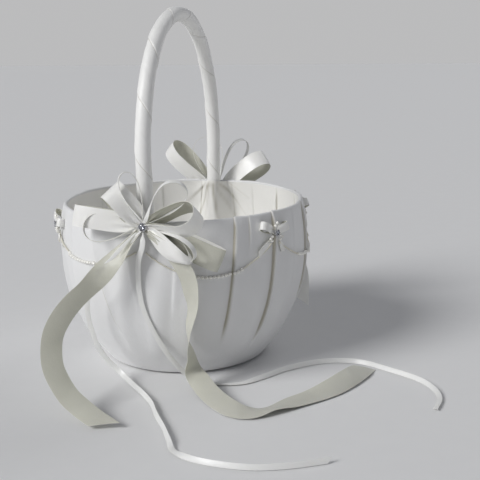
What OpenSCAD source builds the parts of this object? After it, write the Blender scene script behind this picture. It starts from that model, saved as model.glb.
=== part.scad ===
// Flower girl basket: a satin covered bowl with a wrapped arched handle, a ribbon bow
// at each handle foot, four small jewelled bows under the rim and six pearl swags.
// The handle plane is the YZ plane, the front bow is on the -Y side and the origin is
// the centre of the face that the basket stands on. Millimetres.

/* [Bowl] */
// Largest radius of the bowl, at its belly
belly_r = 102.6; // [102:0.1:103.2]
// Radius of the bowl just under the rim binding
rim_r = 100; // [99:0.1:101]
// Height of the belly
belly_z = 92; // [90:1:94]
// Height at which the wall's plies end
wall_top_z = 129.5; // [128:0.5:131]
// Radius of the long curve that forms the lower wall
lower_arc_r = 135; // [130:1:140]
// Thickness of the outer satin cover
cover_t = 0.6; // [0.4:0.1:0.8]
// Thickness of the moulded pulp shell
shell_t = 1.3; // [1:0.1:1.5]
// Thickness of the satin lining
lining_t = 0.5; // [0.3:0.1:0.6]
// Radius of the disc that the basket stands on
base_disc_r = 63; // [58:1:64]
// Thickness of that disc
base_disc_t = 1.3; // [1:0.1:1.5]
// Thickness of the padded floor inside the bowl
floor_pad_t = 3.5; // [2:0.5:6]

/* [Handle] */
// Half the distance between the two legs, where they start to curve
handle_half_w = 92; // [90:0.5:93]
// Height at which the legs start to curve
spring_z = 176; // [165:1:190]
// Rise of the crown above that height
crown_rise = 107; // [104:1:110]
// Radius of each shoulder of the crown
shoulder_r = 125; // [122:1:130]
// Lean of each leg towards the middle, in degrees
leg_lean = 2.6; // [2.4:0.1:3]
// Radius of the steel core rod
core_r = 3; // [2.5:0.25:3]
// Outside radius of the foam padding
padding_r = 5.5; // [5:0.1:5.6]
// Outside radius of the wrapped satin ribbon
wrap_r = 6.1; // [6:0.05:6.2]

/* [Ribbons] */
// Width of the wide satin ribbon
wide_w = 16; // [14:0.5:18]
// Width of the narrow satin ribbon
narrow_w = 4; // [3:0.5:5]
// Width of the ribbon of the small side bows
side_w = 6.5; // [5:0.5:7]
// Thickness of every ribbon
ribbon_t = 0.4; // [0.3:0.05:0.5]

/* [Pearls and stones] */
// Radius of a pearl on a swag
pearl_r = 1.5; // [1.2:0.05:1.6]
// Pearls on each swag
swag_pearls = 13; // [9:2:17]
// Radius of the stone on a large bow
big_stone_r = 2.6; // [2.2:0.1:3]
// Radius of the stone on a side bow
small_stone_r = 2; // [1.6:0.1:2.2]

/* [Hidden] */
$fn = 96;
ply_gap = 0.1;
swag_names = [for (i = [1 : 6]) str("pearl_swag_", i)];
front_wide_names = [for (i = [1 : 5]) str("front_wide_loop_", i)];
front_narrow_names = [for (i = [1 : 4]) str("front_narrow_loop_", i)];
back_wide_names = [for (i = [1 : 4]) str("back_wide_loop_", i)];
back_narrow_names = [for (i = [1 : 3]) str("back_narrow_loop_", i)];
side_names = [for (i = [1 : 4]) str("side_bow_", i)];

// depth of each ply's faces below the bowl's outer surface
shell_in = cover_t + ply_gap;
lining_in = shell_in + shell_t + ply_gap;
inside_in = lining_in + lining_t;
upper_arc_r = (pow(belly_r - rim_r, 2) + pow(wall_top_z - belly_z, 2)) / (2 * (belly_r - rim_r));
lower_arc_x = belly_r - lower_arc_r;
upper_arc_x = belly_r - upper_arc_r;
cover_z = base_disc_t + ply_gap;
shell_z = cover_z + cover_t + ply_gap;
board_z = shell_z + shell_t + ply_gap;
board_t = 2;
board_r = 63.5;
pad_z = board_z + board_t + ply_gap;
pad_r = 66;
// the rim binding is a rolled edge over all the plies
binding_t = 0.6;
binding_depth = 4;
binding_half_w = (inside_in + 2 * (binding_t + ply_gap)) / 2;
binding_z = wall_top_z + 0.8;
rim_wire_r = 0.7;

// the crown is two shoulder arcs and a top arc that meet in line
top_arc_r = shoulder_r - (pow(shoulder_r - handle_half_w, 2) + pow(shoulder_r - crown_rise, 2))
                         / (2 * (shoulder_r - crown_rise));
arc_meet = acos((shoulder_r - handle_half_w) / (shoulder_r - top_arc_r));
top_arc_z = spring_z + crown_rise - top_arc_r;
leg_top_y = handle_half_w - shoulder_r + shoulder_r * cos(leg_lean);
leg_top_z = spring_z - shoulder_r * sin(leg_lean);
core_foot_z = 60;
wrap_foot_z = 88;
pocket_low_z = 48;
pocket_top_z = 114;
bracket_plate_t = 1.2;
// slopes of the wall, in degrees, at which the rivets sit
rivet_slopes = [1, 15];
rivet_r = 1.5;

// radius of a large bow's knot, where its loops start, and the degrees at which they do
knot_r = 4.2;
loop_start = 40;
front_turn = 2.2;
back_turn = 181;
bow_r = 106;
front_bow_z = 130;
back_bow_z = 118;

// bow loops: direction, length, spread, lean away from the wall, turn, width
front_wide = [
    [132, 37, 13, 4, -28, wide_w + 2],
    [174, 57, 10, -4, -10, wide_w],
    [12, 45, 21, 9, -46, wide_w],
    [-24, 63, 9, -3, 4, wide_w + 2],
    [-33, 44, 9, 12, -22, wide_w]];
front_narrow = [
    [106, 43, 14, 10, 62, narrow_w],
    [46, 46, 21, 8, 66, narrow_w],
    [-177, 46, 21, 6, 70, narrow_w],
    [-25, 47, 18, 14, 62, narrow_w]];
back_wide = [
    [44, 63, 18, 2, 25, wide_w],
    [145, 58, 20, 5, 30, wide_w],
    [-24, 44, 10, -1, 8, wide_w],
    [204, 44, 10, -1, -8, wide_w]];
back_narrow = [
    [77, 54, 27, 4, 70, narrow_w],
    [118, 57, 20, 4, 45, narrow_w],
    [-50, 42, 22, 8, 75, narrow_w]];

// side stations, degrees round from the front bow, and the height of their stones
side_turns = [60, 120, 240, 300];
side_z = 117;
// swag k hangs between station k and the next, starting at the front bow
swag_middle = [32, 90, 150, 210, 270, 327];
// how far each swag hangs, as a share of the full drop
swag_slack = [1, 0.95, 1, 1, 0.95, 0.65];
swag_half_angle = 28;
swag_top_z = 109;
swag_drop = 20;
swag_off = 1.75;

// tails: centre of the ribbon, then the direction across it
front_wide_left_route = [
    [1, -109, 126, 0.6, -0.6, -0.5], [-8, -113, 116, 0.6, -0.6, -0.5],
    [-16, -117, 106, 0.65, -0.5, -0.6], [-25, -121, 96, 0.75, 0.1, -0.65],
    [-34, -127, 86, 0.6, 0.6, -0.5], [-43, -133, 77, 0.65, 0.6, -0.4],
    [-50, -140, 67, 0.75, 0.6, -0.2], [-54, -147, 56, 0.75, 0.65, -0.1],
    [-54, -152, 45, 0.75, 0.65, 0], [-51, -157, 34, 0.75, 0.65, 0],
    [-45, -160, 24, 0.7, 0.65, 0.1], [-36, -164, 15, 0.65, 0.65, 0.2],
    [-25, -168, 9, 0.5, 0.75, 0.3], [-14, -174, 6, 0.45, 0.8, 0.3],
    [-3, -180, 4, 0.4, 0.85, 0.25]];
front_wide_right_route = [
    [8, -109, 125, -0.5, 0.45, -0.65], [21, -112, 117, -0.6, 0.45, -0.6],
    [32, -112, 106, -0.85, 0.35, -0.35], [38, -110, 93, -0.9, 0.35, -0.2],
    [39, -107, 79, -0.85, 0.5, -0.1], [38, -103, 65, -0.65, 0.75, 0],
    [34, -101, 50, -0.5, 0.85, 0.1], [32, -97, 36, -0.25, 0.95, 0],
    [32, -91, 24, 0.1, 0.95, 0.1], [34, -91, 14, 0.45, 0.85, 0.2],
    [41, -97, 8, 0.65, 0.5, 0.35], [52, -110, 5, 0.65, 0.6, 0.35],
    [65, -124, 4, 0.55, 0.7, 0.35], [79, -134, 3, 0.2, 0.9, 0.25],
    [91, -134, 2.5, -0.2, 0.95, 0.1], [103, -124, 2.5, -0.3, 0.95, -0.2],
    [116, -109, 2.5, -0.5, 0.8, 0.05], [129, -94, 3, -0.6, 0.7, 0.2],
    [141, -79, 5, -0.7, 0.5, 0.45], [150, -61, 6, -0.8, 0.25, 0.55],
    [156, -41, 5, -0.9, 0.2, 0.4], [158, -28, 3, -0.95, 0.1, 0.25]];
front_narrow_left_route = [
    [3, -110, 127, 0.7, 0, -0.7], [-9, -114, 116, 0.7, 0, -0.7],
    [-20, -118, 104, 0.7, 0, -0.7], [-30, -122, 94, 0.7, 0, -0.6],
    [-37, -120, 84, 0.8, 0, -0.5], [-42, -111, 74, 0.9, 0, -0.3],
    [-45, -106, 63, 0.9, 0, 0], [-46, -102, 52, 0.9, 0, 0],
    [-45, -99, 42, 0.9, 0, 0], [-43, -96, 31, 0.9, 0, 0.3],
    [-37, -93, 19, 0.7, 0.2, 0.6], [-26, -92, 8, 0.5, 0.3, 0.8],
    [-12, -102, 3, 0.4, 0.3, 0.85], [3, -118, 2.5, 0.4, 0.3, 0.85],
    [15, -134, 2.5, 0.4, 0.3, 0.85], [25, -152, 2.5, 0.4, 0.3, 0.85],
    [37, -171, 2.5, 0.4, 0.2, 0.85], [47, -189, 2.5, 0.7, 0, 0.7],
    [55, -203, 1.5, 0.7, 0.7, 0.05], [68, -212, 2.2, 0.2, 0.5, 0.85],
    [86, -217, 2.5, 0, 0.5, 0.85], [111, -217, 2.5, 0, 0.5, 0.85],
    [135, -209, 2.5, 0, 0.5, 0.85], [158, -196, 2.5, 0, 0.5, 0.85]];
front_narrow_right_route = [
    [5, -111, 126, 0.9, 0, 0], [4, -112, 115, 0.9, 0, 0],
    [0, -110, 104, 0.9, 0, 0], [-2, -107, 91, 0.9, 0, 0],
    [-2, -105, 77, 0.9, 0, 0], [0, -102, 62, 0.9, 0, 0],
    [5, -98, 46, 0.9, 0, 0.2], [11, -93, 31, 0.8, 0.2, 0.4],
    [18, -87, 17, 0.6, 0.4, 0.6], [27, -82, 6, 0.3, 0.7, 0.6],
    [41, -82, 1.5, 0, 1, 0.1], [56, -82, 1.2, -0.1, 1, 0.05],
    [70, -77, 1.5, -0.3, 0.9, 0.2], [83, -62, 2.2, -0.5, 0.5, 0.7],
    [99, -39, 2.5, -0.5, 0.4, 0.75], [124, -18, 2.5, -0.3, 0.5, 0.8],
    [152, -14, 2.5, 0, 0.5, 0.85], [178, -27, 2.5, 0.2, 0.5, 0.8],
    [202, -43, 2.5, 0.4, 0.3, 0.8], [215, -60, 2.2, 0.8, 0.2, 0.5],
    [220, -77, 1.5, 0.95, 0.1, 0.2], [218, -97, 1.5, 0.9, 0.1, 0.3]];
back_wide_right_route = [
    [4, 110, 115, 0.5, 0, 0.8], [18, 111, 107, 0.5, 0, 0.85],
    [35, 107, 99, 0.45, 0.1, 0.85], [50, 98, 92, 0.4, 0.2, 0.85],
    [64, 87, 85, 0.4, 0.3, 0.8], [73, 78, 78, 0.4, 0.3, 0.8],
    [80, 69, 71, 0.4, 0.3, 0.8], [85, 61, 63, 0.4, 0.35, 0.75],
    [89, 55, 54, 0.4, 0.4, 0.75], [91, 48, 45, 0.45, 0.35, 0.75],
    [92, 41, 36, 0.5, 0.4, 0.7]];
back_wide_left_route = [
    [-6, 110, 114, -0.6, 0, 0.7], [-17, 114, 101, -0.7, 0, 0.6],
    [-27, 117, 88, -0.85, 0, 0.4], [-34, 118, 73, -0.95, 0.1, 0.2],
    [-38, 118, 58, -0.95, 0.2, 0.1], [-39, 120, 42, -0.95, 0.2, 0],
    [-41, 124, 27, -0.85, 0.4, 0.1], [-47, 131, 15, -0.6, 0.7, 0.3],
    [-57, 140, 6, -0.1, 0.9, 0.3], [-69, 148, 2.5, 0.3, 0.9, 0.15]];
back_narrow_left_route = [
    [-2, 111, 115, -0.9, 0, 0], [-5, 113, 102, -0.9, 0, 0], [-7, 113, 88, -0.9, 0, 0],
    [-7, 112, 73, -0.9, 0, 0], [-5, 110, 57, -0.9, 0, 0], [-3, 109, 40, -0.9, 0, 0],
    [-4, 111, 24, -0.9, 0.2, 0.1], [-8, 118, 10, -0.8, 0.3, 0.4],
    [-14, 127, 3, -0.6, -0.3, 0.7], [-22, 137, 2.5, -0.6, -0.4, 0.7],
    [-28, 150, 2.5, -0.7, -0.3, 0.7]];
back_narrow_right_route = [
    [3, 111, 114, -0.9, 0, 0], [8, 114, 102, -0.9, 0, 0], [12, 114, 89, -0.9, 0, 0],
    [16, 112, 75, -0.9, 0, 0], [22, 109, 61, -0.9, 0, 0.1], [28, 106, 46, -0.9, 0, 0.2],
    [33, 104, 30, -0.9, 0, 0.2], [37, 106, 15, -0.8, 0.4, 0.3],
    [42, 112, 5, -0.5, 0.6, 0.6], [50, 121, 2.5, -0.5, 0.4, 0.8],
    [60, 131, 2.5, -0.5, 0.4, 0.8]];

satin_white = "ivory";
satin_back = "beige";
silver = "lightgray";
pearl_white = "floralwhite";

function unit(v) = v / norm(v);
function clamp(x, low, high) = max(low, min(high, x));
function pick(route, i) = route[clamp(i, 0, len(route) - 1)];

// smooth curve through the rows of a route, s counts rows
function along(route, s) =
    let (i = min(floor(s), len(route) - 2), t = s - i,
         a = pick(route, i - 1), b = route[i], c = route[i + 1], d = pick(route, i + 2))
    0.5 * (2 * b + (c - a) * t + (2 * a - 5 * b + 4 * c - d) * t * t
           + (3 * b - a - 3 * c + d) * t * t * t);
function place_of(row) = [row[0], row[1], row[2]];
function across_of(row) = [row[3], row[4], row[5]];

// four corners of a flat ribbon's section
function ribbon_ring(centre, across, normal, width, thick) = [
    centre - across * width / 2 + normal * thick / 2,
    centre - across * width / 2 - normal * thick / 2,
    centre + across * width / 2 - normal * thick / 2,
    centre + across * width / 2 + normal * thick / 2];

// a tail lies along its route, with two rings to each row
function tail_rings(route, width) = [
    for (k = [0 : 2 * (len(route) - 1)])
        let (s = k / 2, last = len(route) - 1,
             here = along(route, s),
             travel = unit(place_of(along(route, min(s + 0.1, last)))
                           - place_of(along(route, max(s - 0.1, 0)))),
             rough = across_of(here),
             across = unit(rough - travel * (rough * travel)),
             normal = cross(travel, across))
        ribbon_ring(place_of(here), across, normal, width, ribbon_t)];

// a loop leaves the knot's side, spreads, turns and comes back; q runs round it in degrees
function loop_rings(row, foot, steps) =
    let (out = [0, -1, 0],
         flat = [cos(row[0]), 0, sin(row[0])], side = [-sin(row[0]), 0, cos(row[0])],
         axis = flat * cos(row[3]) + out * sin(row[3]),
         lift = out * cos(row[3]) - flat * sin(row[3]),
         spread = lift * cos(row[4]) + side * sin(row[4]),
         across = side * cos(row[4]) - lift * sin(row[4]))
    [for (k = [0 : steps])
        let (q = loop_start + (360 - 2 * loop_start) * k / steps,
             reach = foot + (row[1] - foot) * (cos(loop_start) - cos(q)) / (1 + cos(loop_start)),
             bulge = row[2] * 0.385 * sin(q) * (1 - cos(q)),
             normal = unit(spread * sin(q) * (row[1] - foot) / (1 + cos(loop_start))
                           - axis * row[2] * 0.385 * (cos(q) - cos(2 * q))),
             far = clamp(reach / row[1] / 0.45, 0, 1),
             width = row[5] * (0.35 + 0.65 * far * (2 - far)))
        ribbon_ring(axis * reach + spread * bulge, across, normal, width, ribbon_t)];

// side faces between ring i and ring i + 1; the last side is split the other way, so that
// the two broad faces of a twisted ribbon stay parallel
function band_faces(i, n, first = 0) =
    let (a = first + i * n, b = a + n)
    concat(
        [for (j = [0 : n - 2]) [a + j, b + j, b + j + 1]],
        [for (j = [0 : n - 2]) [a + j, b + j + 1, a + j + 1]],
        [[a + n - 1, b + n - 1, a], [b + n - 1, b, a]]);
function turned(face) = [for (j = [len(face) - 1 : -1 : 0]) face[j]];

// closed solid through a row of rings that have the same number of corners
module sweep(rings) {
    n = len(rings[0]);
    last = len(rings) - 1;
    polyhedron(
        points = [for (ring = rings) for (corner = ring) corner],
        faces = concat(
            [[for (j = [0 : n - 1]) j]],
            [for (i = [0 : last - 1]) for (face = band_faces(i, n)) face],
            [[for (j = [n - 1 : -1 : 0]) last * n + j]]));
}

// tube between two rows of rings
module sweep_tube(outer, inner) {
    n = len(outer[0]);
    last = len(outer) - 1;
    inside = len(outer) * n;
    polyhedron(
        points = concat([for (ring = outer) for (corner = ring) corner],
                        [for (ring = inner) for (corner = ring) corner]),
        faces = concat(
            [for (i = [0 : last - 1]) for (face = band_faces(i, n)) face],
            [for (i = [0 : last - 1]) for (face = band_faces(i, n, inside)) turned(face)],
            [for (j = [0 : n - 1]) [j, (j + 1) % n, inside + (j + 1) % n, inside + j]],
            [for (j = [0 : n - 1]) turned([last * n + j, last * n + (j + 1) % n,
                inside + last * n + (j + 1) % n, inside + last * n + j])]));
}

module at_wall(turn, r, z) {
    rotate([0, 0, turn]) translate([0, -r, z]) children();
}

// half section of the space inside the bowl's outer surface, moved in by inset
module bowl_half(inset, low_z, high_z) {
    reach = belly_r + 10;
    intersection() {
        union() {
            intersection() {
                translate([lower_arc_x, belly_z]) circle(lower_arc_r - inset, $fn = 240);
                square([reach, belly_z]);
            }
            intersection() {
                translate([upper_arc_x, belly_z]) circle(upper_arc_r - inset, $fn = 480);
                translate([0, belly_z - 0.01]) square([reach, 60]);
            }
        }
        translate([0, low_z]) square([reach, high_z - low_z]);
    }
}

module ply_half(outer_inset, thick, low_z, high_z) {
    difference() {
        bowl_half(outer_inset, low_z, high_z);
        bowl_half(outer_inset + thick, low_z - 1, high_z + 1);
    }
}

module base_disc() {
    color(satin_white) cylinder(h = base_disc_t, r = base_disc_r);
}

module outer_cover() {
    turn_in_r = base_disc_r - 10;
    color(satin_white) rotate_extrude() {
        difference() {
            bowl_half(0, cover_z, wall_top_z);
            bowl_half(cover_t, cover_z + cover_t, wall_top_z + 1);
            translate([0, cover_z - 1]) square([turn_in_r, cover_t + 2]);
        }
    }
}

module wall_rivet_axis(slope) {
    translate([0, lower_arc_x, belly_z]) rotate([-90 - slope, 0, 0]) children();
}

module shell() {
    color("tan") difference() {
        rotate_extrude() difference() {
            bowl_half(shell_in, shell_z, wall_top_z);
            bowl_half(shell_in + shell_t, shell_z + shell_t, wall_top_z + 1);
        }
        for (side = [0, 1]) mirror([0, side, 0]) for (slope = rivet_slopes)
            wall_rivet_axis(slope) translate([0, 0, lower_arc_r - 8])
                cylinder(h = 16, r = rivet_r + 0.05);
    }
}

module base_board() {
    color("tan") translate([0, 0, board_z]) cylinder(h = board_t, r = board_r);
}

module floor_pad() {
    edge_r = floor_pad_t / 2;
    color(satin_white) translate([0, 0, pad_z]) rotate_extrude() {
        square([pad_r - edge_r, floor_pad_t]);
        intersection() {
            translate([pad_r - edge_r, edge_r]) circle(edge_r);
            square([pad_r, floor_pad_t]);
        }
    }
}

// places things in the leaning frame of the leg on the +Y side, z = 0 at the base
module along_leg() {
    translate([0, leg_top_y, leg_top_z]) rotate([-leg_lean, 0, 0])
        translate([0, 0, -leg_top_z / cos(leg_lean)]) children();
}

module pocket_shape(r, low_z, high_z) {
    along_leg() translate([0, 0, low_z]) linear_extrude(high_z - low_z) {
        circle(r);
        translate([-r, 0]) square([2 * r, 25]);
    }
}

module lining() {
    pocket_r = 7.6;
    color(satin_white) difference() {
        union() {
            rotate_extrude() ply_half(lining_in, lining_t, board_z, wall_top_z);
            intersection() {
                rotate_extrude() bowl_half(lining_in, board_z, wall_top_z - 5);
                for (side = [0, 1]) mirror([0, side, 0])
                    pocket_shape(pocket_r + lining_t, pocket_low_z, pocket_top_z);
            }
        }
        for (side = [0, 1]) mirror([0, side, 0])
            pocket_shape(pocket_r, pocket_low_z + lining_t, pocket_top_z + 1);
    }
}

module rim_wire() {
    color(silver) translate([0, 0, binding_z]) rotate_extrude()
        translate([rim_edge_r() - inside_in / 2, 0]) circle(rim_wire_r);
}

function rim_edge_r() = upper_arc_x + sqrt(pow(upper_arc_r, 2) - pow(binding_z - belly_z, 2));

// the rolled edge, grown by `grow` from the plies that it folds over
module binding_half(grow) {
    low_z = binding_z - binding_depth;
    difference() {
        bowl_half(-grow, low_z, binding_z);
        bowl_half(inside_in + grow, low_z - 1, binding_z + 1);
    }
    translate([rim_edge_r() - inside_in / 2, binding_z]) circle(inside_in / 2 + grow);
}

module rim_binding() {
    color(satin_white) rotate_extrude() difference() {
        binding_half(ply_gap + binding_t);
        binding_half(ply_gap);
        translate([0, binding_z - binding_depth - 5]) square([belly_r + 10, 5.01]);
    }
}

// stations along half the arch, from the foot to the crown: [y, z, direction in degrees]
function half_arch(foot_z) = concat(
    [for (t = [0, 0.35, 0.7])
        [leg_top_y - (1 - t) * (leg_top_z - foot_z) * tan(leg_lean),
         foot_z + t * (leg_top_z - foot_z), -leg_lean]],
    [for (k = [0 : 6])
        let (a = -leg_lean + (arc_meet + leg_lean) * k / 7)
        [handle_half_w - shoulder_r + shoulder_r * cos(a), spring_z + shoulder_r * sin(a), a]],
    [for (k = [0 : 8])
        let (a = arc_meet + (90 - arc_meet) * k / 9)
        [top_arc_r * cos(a), top_arc_z + top_arc_r * sin(a), a]]);

// rings of a round rod along the whole arch, from the +Y foot to the -Y foot
function arch_rings(r, foot_z) =
    let (half = half_arch(foot_z), sides = 16,
         stations = concat(half, [[0, top_arc_z + top_arc_r, 90]],
                           [for (k = [len(half) - 1 : -1 : 0])
                               [-half[k][0], half[k][1], 180 - half[k][2]]]))
    [for (here = stations)
        [for (j = [0 : sides - 1])
            let (a = 360 * j / sides)
            [-r * sin(a), here[0] + r * cos(a) * cos(here[2]), here[1] + r * cos(a) * sin(here[2])]]];

module handle_core() {
    color(silver) sweep(arch_rings(core_r, core_foot_z));
}

module handle_padding() {
    color("khaki") sweep_tube(arch_rings(padding_r, wrap_foot_z),
                              arch_rings(core_r + 0.05, wrap_foot_z));
}

module handle_wrap() {
    color(satin_white) sweep_tube(arch_rings(wrap_r, wrap_foot_z),
                                  arch_rings(padding_r + 0.05, wrap_foot_z));
}

// steel plate against the shell with a lug that holds the core rod
module foot_bracket() {
    plate_w = 14;
    lug_w = 9;
    color(silver) difference() {
        intersection() {
            rotate_extrude() bowl_half(lining_in, 50, 97);
            union() {
                difference() {
                    translate([-plate_w / 2, 60, 52]) cube([plate_w, 60, 44]);
                    rotate_extrude() bowl_half(lining_in + bracket_plate_t, 40, 110);
                }
                translate([-lug_w / 2, 82, 63]) cube([lug_w, 30, 20]);
            }
        }
        along_leg() translate([0, 0, 40]) cylinder(h = 60, r = core_r + 0.05);
        for (slope = rivet_slopes) wall_rivet_axis(slope)
            translate([0, 0, lower_arc_r - 8]) cylinder(h = 16, r = rivet_r + 0.05);
    }
}

module back_foot_bracket() foot_bracket();
module front_foot_bracket() mirror([0, 1, 0]) foot_bracket();

module foot_rivets() {
    shank = bracket_plate_t + shell_t + ply_gap;
    head_t = 1;
    color(silver) for (slope = rivet_slopes) wall_rivet_axis(slope)
        translate([0, 0, lower_arc_r - shell_in - shank]) {
            cylinder(h = shank, r = rivet_r);
            translate([0, 0, -head_t]) cylinder(h = head_t, r = 2 * rivet_r);
        }
}

module back_foot_rivets() foot_rivets();
module front_foot_rivets() mirror([0, 1, 0]) foot_rivets();

module bow_loop(row) {
    color(satin_white) sweep(loop_rings(row, knot_r, 20));
}

module in_front() at_wall(front_turn, bow_r, front_bow_z) children();
module in_back() at_wall(back_turn, bow_r, back_bow_z) children();

// the ribbon band that gathers the bow, a flattened ball
module bow_knot() {
    half_depth = 2.8;
    color(satin_white) rotate([90, 0, 0]) rotate_extrude() intersection() {
        circle(knot_r);
        translate([0, -half_depth]) square([knot_r + 1, 2 * half_depth]);
    }
}

// claw cup that holds a stone, opening towards -Y
module claw_setting(stone_r) {
    claws = 6;
    rotate([90, 0, 0]) {
        rotate_extrude() difference() {
            square([stone_r + 0.6, 1.6]);
            translate([0, 0.5]) square([stone_r + 0.1, 1.2]);
        }
        for (k = [0 : claws - 1]) rotate([0, 0, k * 360 / claws])
            translate([stone_r + 0.35, 0, 0.4]) cylinder(h = 2.1, r = 0.3, $fn = 24);
    }
}

// eight sided cut stone with a flat table, seated in its cup
module cut_stone(stone_r) {
    rotate([90, 0, 0]) translate([0, 0, 0.55]) rotate_extrude($fn = 8)
        polygon([[0, 0], [stone_r * 0.45, 0], [stone_r, 1.1], [stone_r, 1.4],
                 [stone_r * 0.55, 2.2], [0, 2.2]]);
}

module jewel_seat(depth) translate([0, -depth, 0]) children();

module front_knot() in_front() bow_knot();
module front_setting() in_front() jewel_seat(3) color(silver) claw_setting(big_stone_r);
module front_stone() in_front() jewel_seat(3) color("white") cut_stone(big_stone_r);
module back_knot() in_back() bow_knot();
module back_setting() in_back() jewel_seat(3) color(silver) claw_setting(big_stone_r);
module back_stone() in_back() jewel_seat(3) color("white") cut_stone(big_stone_r);

module wide_tail(route) color(satin_back) sweep(tail_rings(route, wide_w));
module narrow_tail(route) color(satin_back) sweep(tail_rings(route, narrow_w));

// a small bow: two loops, two short tails and a knot
module side_bow() {
    tails = [
        [[-4, -1.2, -4, 0.65, 0, -0.75], [-8, -2.2, -7, 0.65, 0, -0.75],
         [-13, -1.5, -11, 0.65, 0, -0.75], [-17, -0.5, -15, 0.65, 0, -0.75]],
        [[3, -1.2, -5, 0.85, 0, 0.5], [5, -2.2, -8.5, 0.85, 0, 0.5],
         [8, -1.5, -13, 0.85, 0, 0.5], [10, -0.5, -17, 0.85, 0, 0.5]]];
    color(satin_white) {
        sweep(loop_rings([152, 16, 6, 4, -12, side_w], 2.2, 12));
        sweep(loop_rings([14, 15, 6, 4, 12, side_w], 2.2, 12));
        for (route = tails) sweep(tail_rings(route, side_w - 2));
        translate([0, -1, 0]) sphere(1.6, $fn = 32);
    }
}

module at_side(k) {
    at_wall(side_turns[k], upper_wall_r(side_z) + 1.8, side_z) children();
}

function upper_wall_r(z) = z > belly_z
    ? upper_arc_x + sqrt(pow(upper_arc_r, 2) - pow(z - belly_z, 2))
    : lower_arc_x + sqrt(pow(lower_arc_r, 2) - pow(z - belly_z, 2));

module side_settings() {
    color(silver) for (k = [0 : 3]) at_side(k) jewel_seat(2.8) claw_setting(small_stone_r);
}

module side_stones() {
    color("white") for (k = [0 : 3]) at_side(k) jewel_seat(2.8) cut_stone(small_stone_r);
}

// three pearls above the stone and three on each side below it
module side_pearls() {
    cluster = [[0.8, 7.6], [-1.2, 5.6], [2.6, 5.6], [-4.6, -2.4], [-6.8, -3.8], [-5, -5.6],
               [4.6, -2.6], [6.6, -4.2], [4.4, -5.6]];
    color(pearl_white) for (k = [0 : 3]) at_side(k) for (spot = cluster)
        translate([spot[0], -3.4, spot[1]]) sphere(1.15, $fn = 24);
}

// point on the wall along a swag, where p runs from -1 to 1
function swag_point(k, p) =
    let (turn = 30 + 60 * k + swag_half_angle * p,
         z = swag_top_z - swag_drop * swag_slack[k] * (1 - p * p),
         r = upper_wall_r(z) + swag_off)
    [r * sin(turn), -r * cos(turn), z];

// the thread as a thin six sided tube beside the pearls' middle
function thread_rings(k, from, to, steps) = [
    for (i = [0 : steps])
        let (p = from + (to - from) * i / steps,
             here = swag_point(k, p),
             travel = unit(swag_point(k, p + 0.01) - swag_point(k, p - 0.01)),
             out = unit([here[0], here[1], 0]),
             up = cross(travel, out))
        [for (a = [0 : 60 : 300]) here + 0.45 * (out * cos(a) + up * sin(a))]];

// pearls fill the middle of the thread, which runs bare to the two bows
module pearl_swag(k) {
    reach = swag_half_angle * PI / 180 * belly_r;
    spacing = (2 * pearl_r + 0.05) / reach;
    shift = (swag_middle[k] - 30 - 60 * k) / swag_half_angle;
    half_row = (swag_pearls - 1) / 2;
    low_end = shift - (half_row + 0.5) * spacing - 0.005;
    high_end = shift + (half_row + 0.5) * spacing + 0.005;
    color(pearl_white) {
        for (i = [-half_row : half_row])
            translate(swag_point(k, shift + i * spacing)) sphere(pearl_r, $fn = 24);
        if (low_end > -0.95) sweep(thread_rings(k, -1, low_end, 12));
        if (high_end < 0.95) sweep(thread_rings(k, high_end, 1, 12));
    }
}

base_disc();
shell();
base_board();
floor_pad();
lining();
outer_cover();
rim_wire();
rim_binding();
handle_core();
handle_padding();
handle_wrap();
front_foot_bracket();
back_foot_bracket();
front_foot_rivets();
back_foot_rivets();
for (i = [0 : 4]) in_front() bow_loop(front_wide[i]);
for (i = [0 : 3]) in_front() bow_loop(front_narrow[i]);
front_knot();
front_setting();
front_stone();
wide_tail(front_wide_left_route);  // front_wide_tail_left
wide_tail(front_wide_right_route);  // front_wide_tail_right
narrow_tail(front_narrow_left_route);  // front_narrow_tail_left
narrow_tail(front_narrow_right_route);  // front_narrow_tail_right
for (i = [0 : 3]) in_back() bow_loop(back_wide[i]);
for (i = [0 : 2]) in_back() bow_loop(back_narrow[i]);
back_knot();
back_setting();
back_stone();
wide_tail(back_wide_left_route);  // back_wide_tail_left
wide_tail(back_wide_right_route);  // back_wide_tail_right
narrow_tail(back_narrow_left_route);  // back_narrow_tail_left
narrow_tail(back_narrow_right_route);  // back_narrow_tail_right
for (i = [0 : 3]) at_side(i) side_bow();
side_settings();
side_stones();
side_pearls();
for (i = [0 : 5]) pearl_swag(i);
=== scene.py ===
import math

import bmesh
import bpy
import numpy as np
from mathutils import Matrix, Vector


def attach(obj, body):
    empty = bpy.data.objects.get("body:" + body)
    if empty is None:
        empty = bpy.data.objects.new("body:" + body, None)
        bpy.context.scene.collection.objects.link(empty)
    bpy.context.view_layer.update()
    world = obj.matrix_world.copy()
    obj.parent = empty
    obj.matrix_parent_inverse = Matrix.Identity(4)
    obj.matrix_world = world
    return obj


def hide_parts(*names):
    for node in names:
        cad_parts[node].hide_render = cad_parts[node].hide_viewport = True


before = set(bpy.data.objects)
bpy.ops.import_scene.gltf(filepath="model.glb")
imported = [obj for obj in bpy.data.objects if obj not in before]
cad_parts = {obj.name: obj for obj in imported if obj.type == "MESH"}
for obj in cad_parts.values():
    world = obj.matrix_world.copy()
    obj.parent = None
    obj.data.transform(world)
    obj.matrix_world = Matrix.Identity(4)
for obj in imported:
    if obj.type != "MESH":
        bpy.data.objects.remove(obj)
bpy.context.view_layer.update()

MM = 0.001

# ---------------------------------------------------------------- camera
CAMERA_PLACE = Vector((0.2472, -0.7413, 0.2721))
CAMERA_TARGET = Vector((0.0454, 0.0122, 0.0945))
CAMERA_ROLL = math.radians(-0.96)
CAMERA_LENS, CAMERA_SENSOR = 70.3, 36.0


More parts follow.
